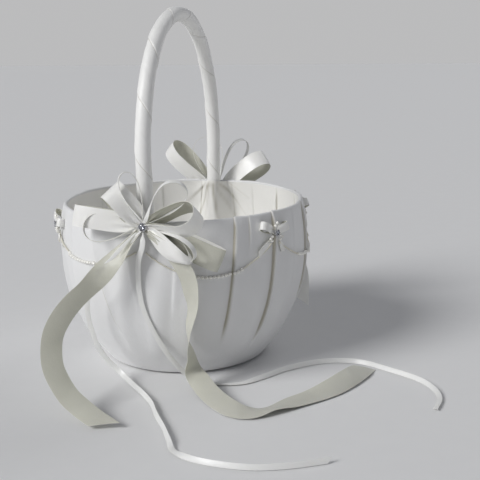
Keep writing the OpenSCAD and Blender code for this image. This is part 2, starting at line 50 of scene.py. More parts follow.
def make_camera():
    data = bpy.data.cameras.new("view")
    data.lens, data.sensor_width = CAMERA_LENS, CAMERA_SENSOR
    data.clip_start, data.clip_end = 0.01, 30.0
    camera = bpy.data.objects.new("view", data)
    ahead = (CAMERA_TARGET - CAMERA_PLACE).normalized()
    right = ahead.cross(Vector((0, 0, 1))).normalized()
    up = right.cross(ahead)
    across = right * math.cos(CAMERA_ROLL) + up * math.sin(CAMERA_ROLL)
    up = up * math.cos(CAMERA_ROLL) - right * math.sin(CAMERA_ROLL)
    axes = Matrix((across, up, -ahead)).transposed()
    camera.matrix_world = Matrix.Translation(CAMERA_PLACE) @ axes.to_4x4()
    bpy.context.scene.collection.objects.link(camera)
    bpy.context.scene.camera = camera


make_camera()


# ---------------------------------------------------------------- the bowl's curve, millimetres
BELLY_R, RIM_R, BELLY_Z, WALL_TOP = 102.6, 100.0, 92.0, 129.5
LOWER_ARC = 135.0  # radius of the wall's curve below the belly
UPPER_ARC = ((BELLY_R - RIM_R) ** 2 + (WALL_TOP - BELLY_Z) ** 2) / (2 * (BELLY_R - RIM_R))
LINING_IN = 2.5  # from the wall's outside to the middle of the lining
CLOTH_T = 0.4  # thickness of the cover and the lining


def wall_r(z):
    """Radius of the bowl's outside at heights."""
    z = np.asarray(z, float) - BELLY_Z
    low = BELLY_R - LOWER_ARC + np.sqrt(np.maximum(LOWER_ARC**2 - z**2, 0))
    high = BELLY_R - UPPER_ARC + np.sqrt(np.maximum(UPPER_ARC**2 - z**2, 0))
    return np.where(z < 0, low, high)


def unit(v):
    v = np.asarray(v, float)
    return v / np.maximum(np.linalg.norm(v, axis=-1, keepdims=True), 1e-9)


def smooth(x, low, high):
    """0 at low and 1 at high, with soft ends."""
    t = np.clip((np.asarray(x, float) - low) / (high - low), 0, 1)
    return t * t * (3 - 2 * t)


def turned(points, degrees):
    """Points turned about the bowl's axis, as rotate([0, 0, degrees]) does."""
    c, s = math.cos(math.radians(degrees)), math.sin(math.radians(degrees))
    return np.asarray(points, float) @ np.array([[c, s, 0], [-s, c, 0], [0, 0, 1]])


def waves(x, y, seed, count=7, low=0.6, high=2.2):
    """Smooth fixed unevenness of size about 1, from a few crossed waves."""
    rng = np.random.default_rng(seed)
    total = np.zeros(np.broadcast(x, y).shape)
    for _ in range(count):
        a, b = rng.uniform(low, high, 2) * rng.choice([-1, 1], 2)
        total = total + np.sin(a * x + b * y + rng.uniform(0, 6.28))
    return total / math.sqrt(count)


# ---------------------------------------------------------------- materials
def material(name):
    """An empty material with its shader already wired to the output."""
    made = bpy.data.materials.new(name)
    made.use_nodes = True
    made.node_tree.nodes.clear()
    tree = made.node_tree
    shader = tree.nodes.new("ShaderNodeBsdfPrincipled")
    out = tree.nodes.new("ShaderNodeOutputMaterial")
    tree.links.new(shader.outputs["BSDF"], out.inputs["Surface"])
    return made, tree, shader


def node(tree, kind, **settings):
    """A new node with its sockets or its own settings filled in."""
    made = tree.nodes.new(kind)
    for key, value in settings.items():
        if key in made.inputs:
            made.inputs[key].default_value = value
        else:
            setattr(made, key, value)
    return made


def between(tree, factor, low, high):
    """A factor of 0 to 1 turned into a number from low to high."""
    made = node(tree, "ShaderNodeMapRange")
    made.inputs["To Min"].default_value = low
    made.inputs["To Max"].default_value = high
    tree.links.new(factor, made.inputs["Value"])
    return made.outputs["Result"]


def mixed(tree, factor, low, high):
    """A colour from low to high as the factor goes from 0 to 1."""
    made = tree.nodes.new("ShaderNodeMix")
    made.data_type = "RGBA"
    for socket, value in (("Factor", factor), (6, low), (7, high)):
        if isinstance(value, (tuple, list, float, int)):
            made.inputs[socket].default_value = value
        else:
            tree.links.new(value, made.inputs[socket])
    return made.outputs[2]


def satin(name, colour, dark, rough=(0.3, 0.42), sheen=0.25, weave=0.05, thread_mm=0.3, coat=0.0,
          through=0.0):
    """Woven satin on a UV map in millimetres: u across the cloth, v along its long floating threads.
    dark: the shade down in the creases. through: how much light passes in and out of the cloth."""
    made, tree, shader = material(name)
    link = tree.links.new
    uv = node(tree, "ShaderNodeUVMap", uv_map="cloth")
    stretch = node(tree, "ShaderNodeMapping")
    stretch.inputs["Scale"].default_value = (1 / thread_mm, 0.06 / thread_mm, 1)
    link(uv.outputs["UV"], stretch.inputs["Vector"])
    slub = node(tree, "ShaderNodeTexNoise", Scale=1.0, Detail=3.0, Roughness=0.6)
    link(stretch.outputs["Vector"], slub.inputs["Vector"])
    crossed = node(tree, "ShaderNodeTexWave", bands_direction="Y", Scale=0.5 / (thread_mm * 1.3),
                   Distortion=0.6, Detail=1.0)
    link(uv.outputs["UV"], crossed.inputs["Vector"])
    threads = node(tree, "ShaderNodeTexWave", bands_direction="X", Scale=0.5 / thread_mm,
                   Distortion=0.4, Detail=1.0)
    link(uv.outputs["UV"], threads.inputs["Vector"])
    weft = mixed(tree, 0.5, crossed.outputs["Color"], threads.outputs["Color"])
    blotch = node(tree, "ShaderNodeTexNoise", Scale=0.045, Detail=3.0, Roughness=0.55)
    link(uv.outputs["UV"], blotch.inputs["Vector"])
    # painted shade: the per-point crease mask mixes the colour towards dark along the creases
    painted_fold_shade = node(tree, "ShaderNodeAttribute", attribute_name="painted_fold_shade")
    pale = mixed(tree, between(tree, blotch.outputs["Fac"], 0.0, 0.35), colour + (1,),
                 tuple(c * 0.93 for c in colour) + (1,))
    streaked = mixed(tree, between(tree, slub.outputs["Fac"], 0.0, 0.22), pale,
                     tuple(c * 0.86 for c in colour) + (1,))
    link(mixed(tree, painted_fold_shade.outputs["Fac"], streaked, dark + (1,)), shader.inputs["Base Color"])
    link(between(tree, slub.outputs["Fac"], *rough), shader.inputs["Roughness"])
    fine = node(tree, "ShaderNodeBump", Strength=weave, Distance=0.0001)
    link(weft, fine.inputs["Height"])
    slack = node(tree, "ShaderNodeBump", Strength=0.35, Distance=0.0002)
    link(slub.outputs["Fac"], slack.inputs["Height"])
    link(fine.outputs["Normal"], slack.inputs["Normal"])
    soft = node(tree, "ShaderNodeTexNoise", Scale=0.22, Detail=2.0)
    link(uv.outputs["UV"], soft.inputs["Vector"])
    ripple = node(tree, "ShaderNodeBump", Strength=0.22, Distance=0.0008)
    link(soft.outputs["Fac"], ripple.inputs["Height"])
    link(slack.outputs["Normal"], ripple.inputs["Normal"])
    link(ripple.outputs["Normal"], shader.inputs["Normal"])
    shader.inputs["Subsurface Weight"].default_value = through
    shader.inputs["Subsurface Radius"].default_value = (1, 1, 0.9)
    shader.inputs["Subsurface Scale"].default_value = 0.0012
    shader.inputs["Sheen Weight"].default_value = sheen
    shader.inputs["Sheen Roughness"].default_value = 0.4
    shader.inputs["Coat Weight"].default_value = coat
    shader.inputs["Coat Roughness"].default_value = 0.25
    return made


def grained(name, colour, spread, scale, rough, metallic=0.0, bump=0.2, distance=0.0002, coat=0.0,
            stretch=(1, 1, 1)):
    """A material with fine grain in the object's own space."""
    made, tree, shader = material(name)
    link = tree.links.new
    place = node(tree, "ShaderNodeTexCoord")
    mapped = node(tree, "ShaderNodeMapping")
    mapped.inputs["Scale"].default_value = stretch
    link(place.outputs["Object"], mapped.inputs["Vector"])
    grain = node(tree, "ShaderNodeTexNoise", Scale=scale, Detail=4.0, Roughness=0.6)
    link(mapped.outputs["Vector"], grain.inputs["Vector"])
    link(mixed(tree, grain.outputs["Fac"], colour + (1,), tuple(c * spread for c in colour) + (1,)),
         shader.inputs["Base Color"])
    link(between(tree, grain.outputs["Fac"], *rough), shader.inputs["Roughness"])
    lift = node(tree, "ShaderNodeBump", Strength=bump, Distance=distance)
    link(grain.outputs["Fac"], lift.inputs["Height"])
    link(lift.outputs["Normal"], shader.inputs["Normal"])
    shader.inputs["Metallic"].default_value = metallic
    shader.inputs["Coat Weight"].default_value = coat
    return made


def crystal(name):
    """Cut clear glass, very slightly worn."""
    made, tree, shader = material(name)
    place = node(tree, "ShaderNodeTexCoord")
    speck = node(tree, "ShaderNodeTexNoise", Scale=900.0, Detail=2.0)
    tree.links.new(place.outputs["Object"], speck.inputs["Vector"])
    tree.links.new(between(tree, speck.outputs["Fac"], 0.01, 0.05), shader.inputs["Roughness"])
    tree.links.new(mixed(tree, speck.outputs["Fac"], (0.97, 0.98, 1, 1), (0.86, 0.9, 1, 1)),
                   shader.inputs["Base Color"])
    shader.inputs["Transmission Weight"].default_value = 0.9
    shader.inputs["IOR"].default_value = 1.6
    return made


# painted shade: the dark colours that each satin mixes in along its creases, for the shade down in
# the folds
SHADOW, CREASE_SHADE = (0.36, 0.345, 0.27), (0.42, 0.39, 0.30)
COVER = satin("cover_satin", (0.83, 0.83, 0.83), CREASE_SHADE, rough=(0.42, 0.55), thread_mm=0.35)
LINING = satin("lining_satin", (0.92, 0.912, 0.88), CREASE_SHADE, rough=(0.45, 0.6), thread_mm=0.35)
WRAP = satin("wrap_satin", (0.955, 0.95, 0.93), CREASE_SHADE, rough=(0.34, 0.48), sheen=0.35,
             thread_mm=0.3)
RIBBON = satin("ribbon_satin", (0.97, 0.96, 0.915), SHADOW, rough=(0.3, 0.42), sheen=0.45,
               thread_mm=0.25, coat=0.12, through=0.35)
DOUBLE = satin("narrow_satin", (0.86, 0.86, 0.835), SHADOW, rough=(0.3, 0.42), sheen=0.3,
               thread_mm=0.25, coat=0.15, through=0.3)
# the satin's back: its matte weave is real; its colour, darker and more olive than the face, is
# painted shade
SHADED_REVERSE = satin("ribbon_reverse_painted_shade", (0.61, 0.605, 0.53), SHADOW, rough=(0.32, 0.46), sheen=0.2,
                weave=0.3, thread_mm=0.45, coat=0.1, through=0.45)
SELVEDGE = satin("ribbon_edge", (0.80, 0.79, 0.72), SHADOW, rough=(0.5, 0.6), thread_mm=0.3)
PEARL = grained("pearl_gloss", (1.0, 0.985, 0.93), 0.96, 700, (0.12, 0.25), bump=0.05, coat=0.9)
THREAD = grained("swag_thread", (0.88, 0.85, 0.74), 0.8, 3000, (0.55, 0.8), bump=0.6)
SILVER = grained("setting_silver", (0.72, 0.72, 0.74), 0.8, 1500, (0.12, 0.28), metallic=1.0,
                 bump=0.1)
FOIL = grained("stone_foil", (0.55, 0.56, 0.6), 0.6, 2500, (0.05, 0.2), metallic=1.0, bump=0.2)
CRYSTAL = crystal("stone_crystal")
STEEL = grained("drawn_steel", (0.6, 0.6, 0.61), 0.75, 400, (0.3, 0.5), metallic=1.0,
                stretch=(1, 1, 0.1))
PULP = grained("moulded_pulp", (0.52, 0.42, 0.3), 0.7, 350, (0.8, 0.95), bump=0.6, distance=0.0005)
FOAM = grained("foam_padding", (0.82, 0.78, 0.66), 0.85, 900, (0.85, 0.95), bump=0.7,
               distance=0.0004)
BASE_CLOTH = grained("base_cloth", (0.78, 0.78, 0.76), 0.9, 2600, (0.5, 0.65), bump=0.3)


# ---------------------------------------------------------------- mesh building
class Mesh:
    """Collects grids of quads, in millimetres, and makes one object of them."""

    def __init__(self, name, materials):
        self.name, self.materials = name, materials
        self.points, self.faces, self.uvs, self.kinds, self.folds = [], [], [], [], []
        self.count = 0

    def add(self, points, faces, uvs, kind, folds=None):
        """Adds faces. uvs: corner by corner, or None where the material has no weave."""
        uvs = [[(0, 0)] * len(face) for face in faces] if uvs is None else uvs
        points = np.asarray(points, float).reshape(-1, 3)
        self.points.append(points)
        # folds: painted crease shade, one value per point, 0 where there is none
        self.folds.append(np.zeros(len(points)) if folds is None else np.asarray(folds).ravel())
        first = self.count
        self.count += len(points)
        for face, uv in zip(faces, uvs):
            self.faces.append([first + int(i) for i in face])
            self.uvs.extend(uv)
        self.kinds.extend([kind] * len(faces) if isinstance(kind, int) else list(kind))

    def build(self, sharp=40.0, flat=False):
        """Makes the object. Edges sharper than the angle stay crisp, or all of them when flat."""
        mesh = bpy.data.meshes.new(self.name)
        points = np.concatenate(self.points) * MM
        mesh.from_pydata(points.tolist(), [], self.faces)
        for made in self.materials:
            mesh.materials.append(made)
        mesh.polygons.foreach_set("material_index", self.kinds)
        layer = mesh.uv_layers.new(name="cloth")
        layer.data.foreach_set("uv", np.asarray(self.uvs, np.float32).ravel())
        # painted shade: the per-point crease mask, stored for the satin to darken its colour
        painted_fold_shade = mesh.attributes.new("painted_fold_shade", "FLOAT", "POINT")
        painted_fold_shade.data.foreach_set("value", np.concatenate(self.folds).astype(np.float32))
        shell = bmesh.new()
        shell.from_mesh(mesh)
        bmesh.ops.recalc_face_normals(shell, faces=shell.faces)
        shell.to_mesh(mesh)
        shell.free()
        if not flat:
            mesh.polygons.foreach_set("use_smooth", [True] * len(mesh.polygons))
            mesh.set_sharp_from_angle(angle=math.radians(sharp))
        made = bpy.data.objects.new(self.name, mesh)
        bpy.context.scene.collection.objects.link(made)
        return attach(made, "root")


def grid_faces(rows, cols):
    """Quads of a grid whose last column meets its first."""
    return [(i * cols + j, i * cols + (j + 1) % cols, (i + 1) * cols + (j + 1) % cols,
             (i + 1) * cols + j) for i in range(rows - 1) for j in range(cols)]


def end_faces(rows, cols):
    """The two faces that close such a grid's ends."""
    return [tuple(range(cols)), tuple((rows - 1) * cols + j for j in range(cols))]


def solid_sheet(mesh, middle, thick, uv, closed=False, kinds=(0, 1, 2), folds=None):
    """A sheet of cloth with thickness from its middle surface, rows by columns. closed: the last
    column meets the first. Its front lies on the side of rows x columns. kinds: materials of the
    front, the back and the edges."""
    rows, cols = middle.shape[:2]
    if closed:
        across = np.roll(middle, -1, 1) - np.roll(middle, 1, 1)
    else:
        across = np.gradient(middle, axis=1)
    normal = unit(np.cross(np.gradient(middle, axis=0), across))
    front, back = middle + normal * thick / 2, middle - normal * thick / 2
    size = rows * cols
    faces, corners, kind = [], [], []
    last = cols if closed else cols - 1

    def corner(i, j):
        return tuple(uv[i, j])

    for i in range(rows - 1):
        for j in range(last):
            k = (j + 1) % cols
            a, b, c, d = i * cols + j, i * cols + k, (i + 1) * cols + k, (i + 1) * cols + j
            ua, ub, uc, ud = corner(i, j), corner(i, j + 1), corner(i + 1, j + 1), corner(i + 1, j)
            faces += [(a, d, c, b), (size + a, size + b, size + c, size + d)]
            corners += [ua, ud, uc, ub, ua, ub, uc, ud]
            kind += [kinds[0], kinds[1]]
    for i in (0, rows - 1):
        for j in range(last):
            k = (j + 1) % cols
            a, b = i * cols + j, i * cols + k
            faces.append((a, b, size + b, size + a))
            corners += [corner(i, j), corner(i, j + 1)] + [corner(i, j + 1), corner(i, j)]
            kind.append(kinds[2])
    if not closed:
        for j in (0, cols - 1):
            for i in range(rows - 1):
                a, b = i * cols + j, (i + 1) * cols + j
                faces.append((a, b, size + b, size + a))
                corners += [corner(i, j), corner(i + 1, j)] + [corner(i + 1, j), corner(i, j)]
                kind.append(kinds[2])
    uvs = [corners[4 * n:4 * n + 4] for n in range(len(faces))]
    both = np.concatenate([front.reshape(-1, 3), back.reshape(-1, 3)])
    # folds: painted crease shade per point, the same on both faces
    if folds is not None:
        folds = np.concatenate([np.ravel(folds), np.ravel(folds)])
    mesh.add(both, faces, uvs, kind, folds)


def lengths(points):
    """How far along a line each of its points lies."""
    return np.concatenate([[0], np.cumsum(np.linalg.norm(np.diff(points, axis=0), axis=1))])


def resampled(points, count):
    """The same line with evenly spaced points."""
    far = lengths(points)
    at = np.linspace(0, far[-1], count)
    return np.stack([np.interp(at, far, points[:, k]) for k in range(points.shape[1])], 1)


# ---------------------------------------------------------------- cover
# tucks: angle at the rim, halfway down and low down, height where it fades, depth, softness
COVER_TUCKS = [
    [-171, -170, -168, 20, 0.9, 0.3], [-154, -153, -152, 35, 0.7, 0.6],
    [-139, -137, -135, 22, 1.0, 0.3], [-121, -119, -117, 18, 1.2, 0.3],
    [-104, -103, -102, 50, 0.6, 1.2], [-91, -88, -86, 24, 1.0, 0.3],
    [-76, -74, -72, 30, 0.7, 0.6], [-61, -59, -56, 20, 1.1, 0.3],
    [-44, -40, -36, 40, 0.6, 1.0], [-26.5, -18.5, -13, 22, 1.1, 0.3],
    [-8, -4, -3.5, 45, 0.5, 1.6], [15, 12, 11, 38, 0.6, 1.6],
    [40.5, 36.9, 34, 14, 1.6, 0.3], [47.8, 46, 44, 85, 0.7, 0.3],
    [61, 58, 54.5, 6, 1.6, 0.3], [77, 75, 73, 40, 0.5, 1.4],
    [92, 91, 88, 25, 1.1, 0.3], [107, 105, 103, 45, 0.7, 0.8],
    [120, 118, 116, 18, 1.2, 0.3], [137, 136, 134, 28, 0.9, 0.3],
    [152, 150, 149, 40, 0.7, 0.8], [169, 168, 167, 22, 1.0, 0.3]]
LINING_TUCKS = [
    [-172, -169, -168, 40, 0.7, 0.5], [-150, -151, -152, 50, 0.5, 0.8],
    [-131, -132, -132, 45, 0.5, 0.7], [-112, -116, -118, 40, 0.7, 0.5],
    [-90, -91, -92, 50, 0.5, 0.8], [-70, -71, -70, 45, 0.5, 0.7],
    [-48, -47, -47, 50, 0.5, 0.8], [-25, -27, -28, 40, 0.6, 0.6],
    [-9, -12, -14, 50, 0.5, 0.8], [9, 12, 14, 50, 0.5, 0.8],
    [27, 28, 28, 40, 0.6, 0.6], [50, 50, 51, 50, 0.5, 0.8],
    [73, 74, 75, 45, 0.6, 0.7], [96, 97, 98, 50, 0.5, 0.8],
    [119, 120, 122, 40, 0.7, 0.5], [139, 145, 148, 35, 0.9, 0.4],
    [158, 158, 157, 50, 0.4, 0.9], [171, 168, 166, 45, 0.6, 0.6]]


def tucked(tucks, z, weight, per_mm=0.7):
    """Angles, lifts and crease shades of a tucked cloth, rows of heights by columns.
    Columns run along the tucks, and lie closer together beside them."""
    tucks = np.array(sorted(tucks))
    tops = tucks[:, 0]
    columns = []
    for a, b in zip(tops, np.append(tops[1:], tops[0] + 360)):
        count = max(9, int(math.radians(b - a) * BELLY_R * per_mm))
        columns.extend(a + (b - a) * (1 - np.cos(math.pi * np.arange(count) / count)) / 2)
    columns = np.array(columns)
    z = np.asarray(z, float)
    marks = np.concatenate([tops - 360, tops, tops + 360])
    angle, lift, shade = [], [], []
    for height, keep in zip(z, weight):
        at = np.array([np.interp(height, [15, 60, 125], [t[2], t[1], t[0]]) for t in tucks])
        angle.append(columns + np.interp(columns, marks, np.tile(at - tops, 3)))
        total, dark = np.zeros(len(columns)), np.zeros(len(columns))
        for t, here in zip(tucks, tops):
            u = (columns - here + 180) % 360 - 180
            u = np.radians(u) * wall_r(height)
            loose = t[5] + 1.8 * smooth(height, t[3] + 40, t[3])
            step = 0.5 + 0.5 * np.tanh(u / loose)
            fade = smooth(height, t[3], t[3] + 40) * t[4]
            total += 1.7 * fade * (step * np.exp(-(np.abs(u) / 5.5) ** 1.3)
                                   - 0.3 * (1 - step) * np.exp(-np.abs(u) / 3.5))
            crisp = max(0.0, 1 - loose / 1.3)
            dark += crisp * fade * 0.95 * np.exp(-((u + 0.35) / 0.6) ** 2)
        nearest = np.searchsorted(marks, columns, side="right")
        left, right = marks[nearest - 1], marks[nearest]
        panel = np.sin(math.pi * (columns - left) / (right - left)) ** 2
        total += 0.7 * panel * smooth(height, 15, 70)
        lift.append(total * keep)
        shade.append(np.clip(dark * min(keep, 1), 0, 0.9))
    return np.array(angle), np.array(lift), np.array(shade)


def profile_normals(r, z):
    """Outward directions along the cover's profile."""
    dr, dz = np.gradient(r), np.gradient(z)
    size = np.hypot(dr, dz)
    return dz / size, -dr / size


def cover_surface():
    """Angles, radii, heights, crease shades and profile of the satin cover, from under the base,
    round the low corner, up the wall and over the rim."""
    turn_in = np.array([[54.0, 1.72], [59.0, 1.72], [64.0, 1.72], [66.6, 1.74], [67.7, 1.88],
                        [68.3, 2.3]])
    wall_z = np.concatenate([[2.9, 3.7, 4.7, 6.0, 7.5, 9.2], np.linspace(11, 120, 54),
                             np.linspace(121.5, 129.3, 6)])
    wall = np.stack([wall_r(wall_z) - 0.32, wall_z], 1)
    roll = np.linspace(0.2, math.pi - 0.15, 8)
    rim = np.stack([float(wall_r(130.3)) - 1.55 + 1.15 * np.cos(roll),
                    130.6 + 1.05 * np.sin(roll)], 1)
    hem_z = np.array([129.4, 128.2, 126.6])
    hem = np.stack([wall_r(hem_z) - 1.9, hem_z], 1)
    profile = np.concatenate([turn_in, wall, rim, hem])
    r, z = profile[:, 0], profile[:, 1]
    weight = smooth(z, 6, 22) * np.where(r < wall_r(np.minimum(z, 129)) - 1.6, 0.25, 1.0)
    weight *= 1 - 0.6 * smooth(z, 124, 131.5)
    angle, lift, shade = tucked(COVER_TUCKS, z, weight)
    nr, nz = profile_normals(r, z)
    a, up = np.radians(angle), z[:, None]
    soft = waves(a * 5, up / 26, 3) * 0.3 + waves(a * 11 - up / 70, up / 95, 8, count=9) * 0.62
    lift = lift + smooth(up, 8, 30) * (1 - 0.8 * smooth(up, 112, 128)) * (soft + 0.45)
    lift = np.where(lift < 0.5, 0.5 * np.exp(np.minimum(lift, 0.5) * 2 - 1), lift) * smooth(up, 3, 9)
    radius, height = r[:, None] + nr[:, None] * lift, up + nz[:, None] * lift
    height = height + 0.35 * smooth(up, 126, 130) * waves(a * 4, 0 * a, 31)
    return angle, radius, height, shade, profile


COVER_ANGLE, COVER_RADIUS, COVER_HEIGHT, COVER_SHADE, COVER_PROFILE = cover_surface()
# rows of the cover that lie on the wall
COVER_ROWS = np.nonzero((COVER_PROFILE[:, 1] > 10.9) & (COVER_PROFILE[:, 1] < 129.4)
                        & (COVER_PROFILE[:, 0] > 60) & (np.arange(len(COVER_PROFILE)) < 72))[0]


def cover_r(angle, z):
    """Radius of the finished cover at angles and heights."""
    angle, z = np.broadcast_arrays(np.atleast_1d(angle).astype(float), np.atleast_1d(z).astype(float))
    levels = COVER_PROFILE[COVER_ROWS, 1]
    found = []
    for a, h in zip(angle.ravel(), z.ravel()):
        i = int(np.clip(np.searchsorted(levels, h), 1, len(levels) - 1))
        pair = []
        for row in (COVER_ROWS[i - 1], COVER_ROWS[i]):
            turns = COVER_ANGLE[row]
            pair.append(np.interp((a - turns[0]) % 360 + turns[0], np.append(turns, turns[0] + 360),
                                  np.append(COVER_RADIUS[row], COVER_RADIUS[row][0])))
        share = np.clip((h - levels[i - 1]) / (levels[i] - levels[i - 1]), 0, 1)
        found.append(pair[0] + (pair[1] - pair[0]) * share)
    return np.array(found).reshape(angle.shape)


def make_cover():
    a = np.radians(COVER_ANGLE)
    middle = np.stack([COVER_RADIUS * np.sin(a), -COVER_RADIUS * np.cos(a), COVER_HEIGHT], -1)
    far = lengths(COVER_PROFILE)
    around = np.concatenate([COVER_ANGLE, COVER_ANGLE[:, :1] + 360], 1) * math.pi / 180 * BELLY_R
    uv = np.stack(np.broadcast_arrays(around, far[:, None]), -1)
    mesh = Mesh("cover", [COVER])
    solid_sheet(mesh, middle, CLOTH_T, uv, closed=True, kinds=(0, 0, 0), folds=COVER_SHADE)
    made = mesh.build(sharp=75)
    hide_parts("outer_cover", "rim_binding")


# ---------------------------------------------------------------- ribbons
RIBBON_T = 0.34
TABLE_Z = 0.4  # the lowest that the middle of a ribbon lies
WIDE, NARROW, SIDE = 16.0, 4.0, 6.5


def pleated(width, share, folds, columns):
    """Across positions and lifts of a ribbon gathered to a share of its width, rows by columns."""
    t = np.linspace(-0.5, 0.5, columns)[None, :]
    share = np.asarray(share, float)[:, None]
    extra = 1 / share - 1
    slope = 2 * np.sqrt(np.maximum(extra, 0)) * (1 + 0.3 * extra)
    lift = slope * width * share / (2 * math.pi * folds) * np.sin(2 * math.pi * folds * t + 0.6)
    return t * width * share, lift


def ribbon(mesh, line, across, width, share, folds=2.5, columns=17, cup=0.0, slant=0.0,
           faces=(0, 1), seed=1, curl=None):
    """A ribbon along a line. share: how much of its width it is gathered to at each point.
    slant: how far its cut end leans, as a share of the width. faces: materials of its two sides.
    curl: how much of its width each point keeps where its edges curl over."""
    line, across = np.asarray(line, float), np.asarray(across, float)
    far = lengths(line)
    travel = unit(np.gradient(line, axis=0))
    across = unit(across - travel * (across * travel).sum(1)[:, None])
    normal = np.cross(travel, across)
    at, lift = pleated(width, share, folds, columns)
    t = np.linspace(-0.5, 0.5, columns)[None, :]
    lift = lift + cup * (0.25 - t * t) * 4 * np.minimum(np.asarray(share)[:, None], 1)
    lift = lift + 0.12 * width / WIDE * waves(far[:, None] / 9.0, t * width / 9.0, seed)
    if curl is not None:
        curl = np.asarray(curl)[:, None]
        at = at * curl
        lift = lift + np.sqrt(1 - curl**2) * width * 0.3 * (np.cos(math.pi * t) - 0.5)
    lean = width * t * (slant * smooth(far, far[-1] - 1.6 * width, far[-1])[:, None])
    middle = (line[:, None] + across[:, None] * at[..., None] + normal[:, None] * lift[..., None]
              + travel[:, None] * lean[..., None])
    middle[..., 2] = np.maximum(middle[..., 2], TABLE_Z)
    uv = np.stack(np.broadcast_arrays(t * width, far[:, None]), -1)
    solid_sheet(mesh, middle, RIBBON_T, uv, kinds=(*faces, 2))


def loop_line(row, foot, count):
    """A bow loop's line, its across directions and how far it is gathered, in the bow's frame: x
    right, -y out of the wall, z up."""
    direction, length, spread, lean, turn = row[:5]
    start = 40
    c, s = math.cos(math.radians(direction)), math.sin(math.radians(direction))
    out, flat, side = np.array([0, -1.0, 0]), np.array([c, 0, s]), np.array([-s, 0, c])
    cl, sl = math.cos(math.radians(lean)), math.sin(math.radians(lean))
    ct, st = math.cos(math.radians(turn)), math.sin(math.radians(turn))
    axis, lift = flat * cl + out * sl, out * cl - flat * sl
    wide, across = lift * ct + side * st, side * ct - lift * st
    q = np.radians(np.linspace(start, 360 - start, count))
    c0 = math.cos(math.radians(start))
    reach = foot + (length - foot) * (c0 - np.cos(q)) / (1 + c0)
    bulge = spread * 0.385 * np.sin(q) * (1 - np.cos(q))
    line = axis * reach[:, None] + wide * bulge[:, None]
    far = np.clip(reach / length / 0.45, 0, 1)
    return line, np.tile(across, (count, 1)), 0.35 + 0.65 * far * (2 - far)


def place(points, turn, r, z):
    """Points of a bow's frame put on the wall at a turn, radius and height."""
    return turned(np.asarray(points, float) + np.array([0, -r, z]), turn)


def curve_through(rows, per):
    """The CAD's smooth curve through the rows of a route."""
    rows = np.asarray(rows, float)
    made = []
    for i in range(len(rows) - 1):
        a, b, c, d = rows[max(i - 1, 0)], rows[i], rows[i + 1], rows[min(i + 2, len(rows) - 1)]
        for k in range(per):
            t = k / per
            made.append(0.5 * (2 * b + (c - a) * t + (2 * a - 5 * b + 4 * c - d) * t * t
                               + (3 * b - a - 3 * c + d) * t**3))
    made.append(rows[-1])
    return np.array(made)


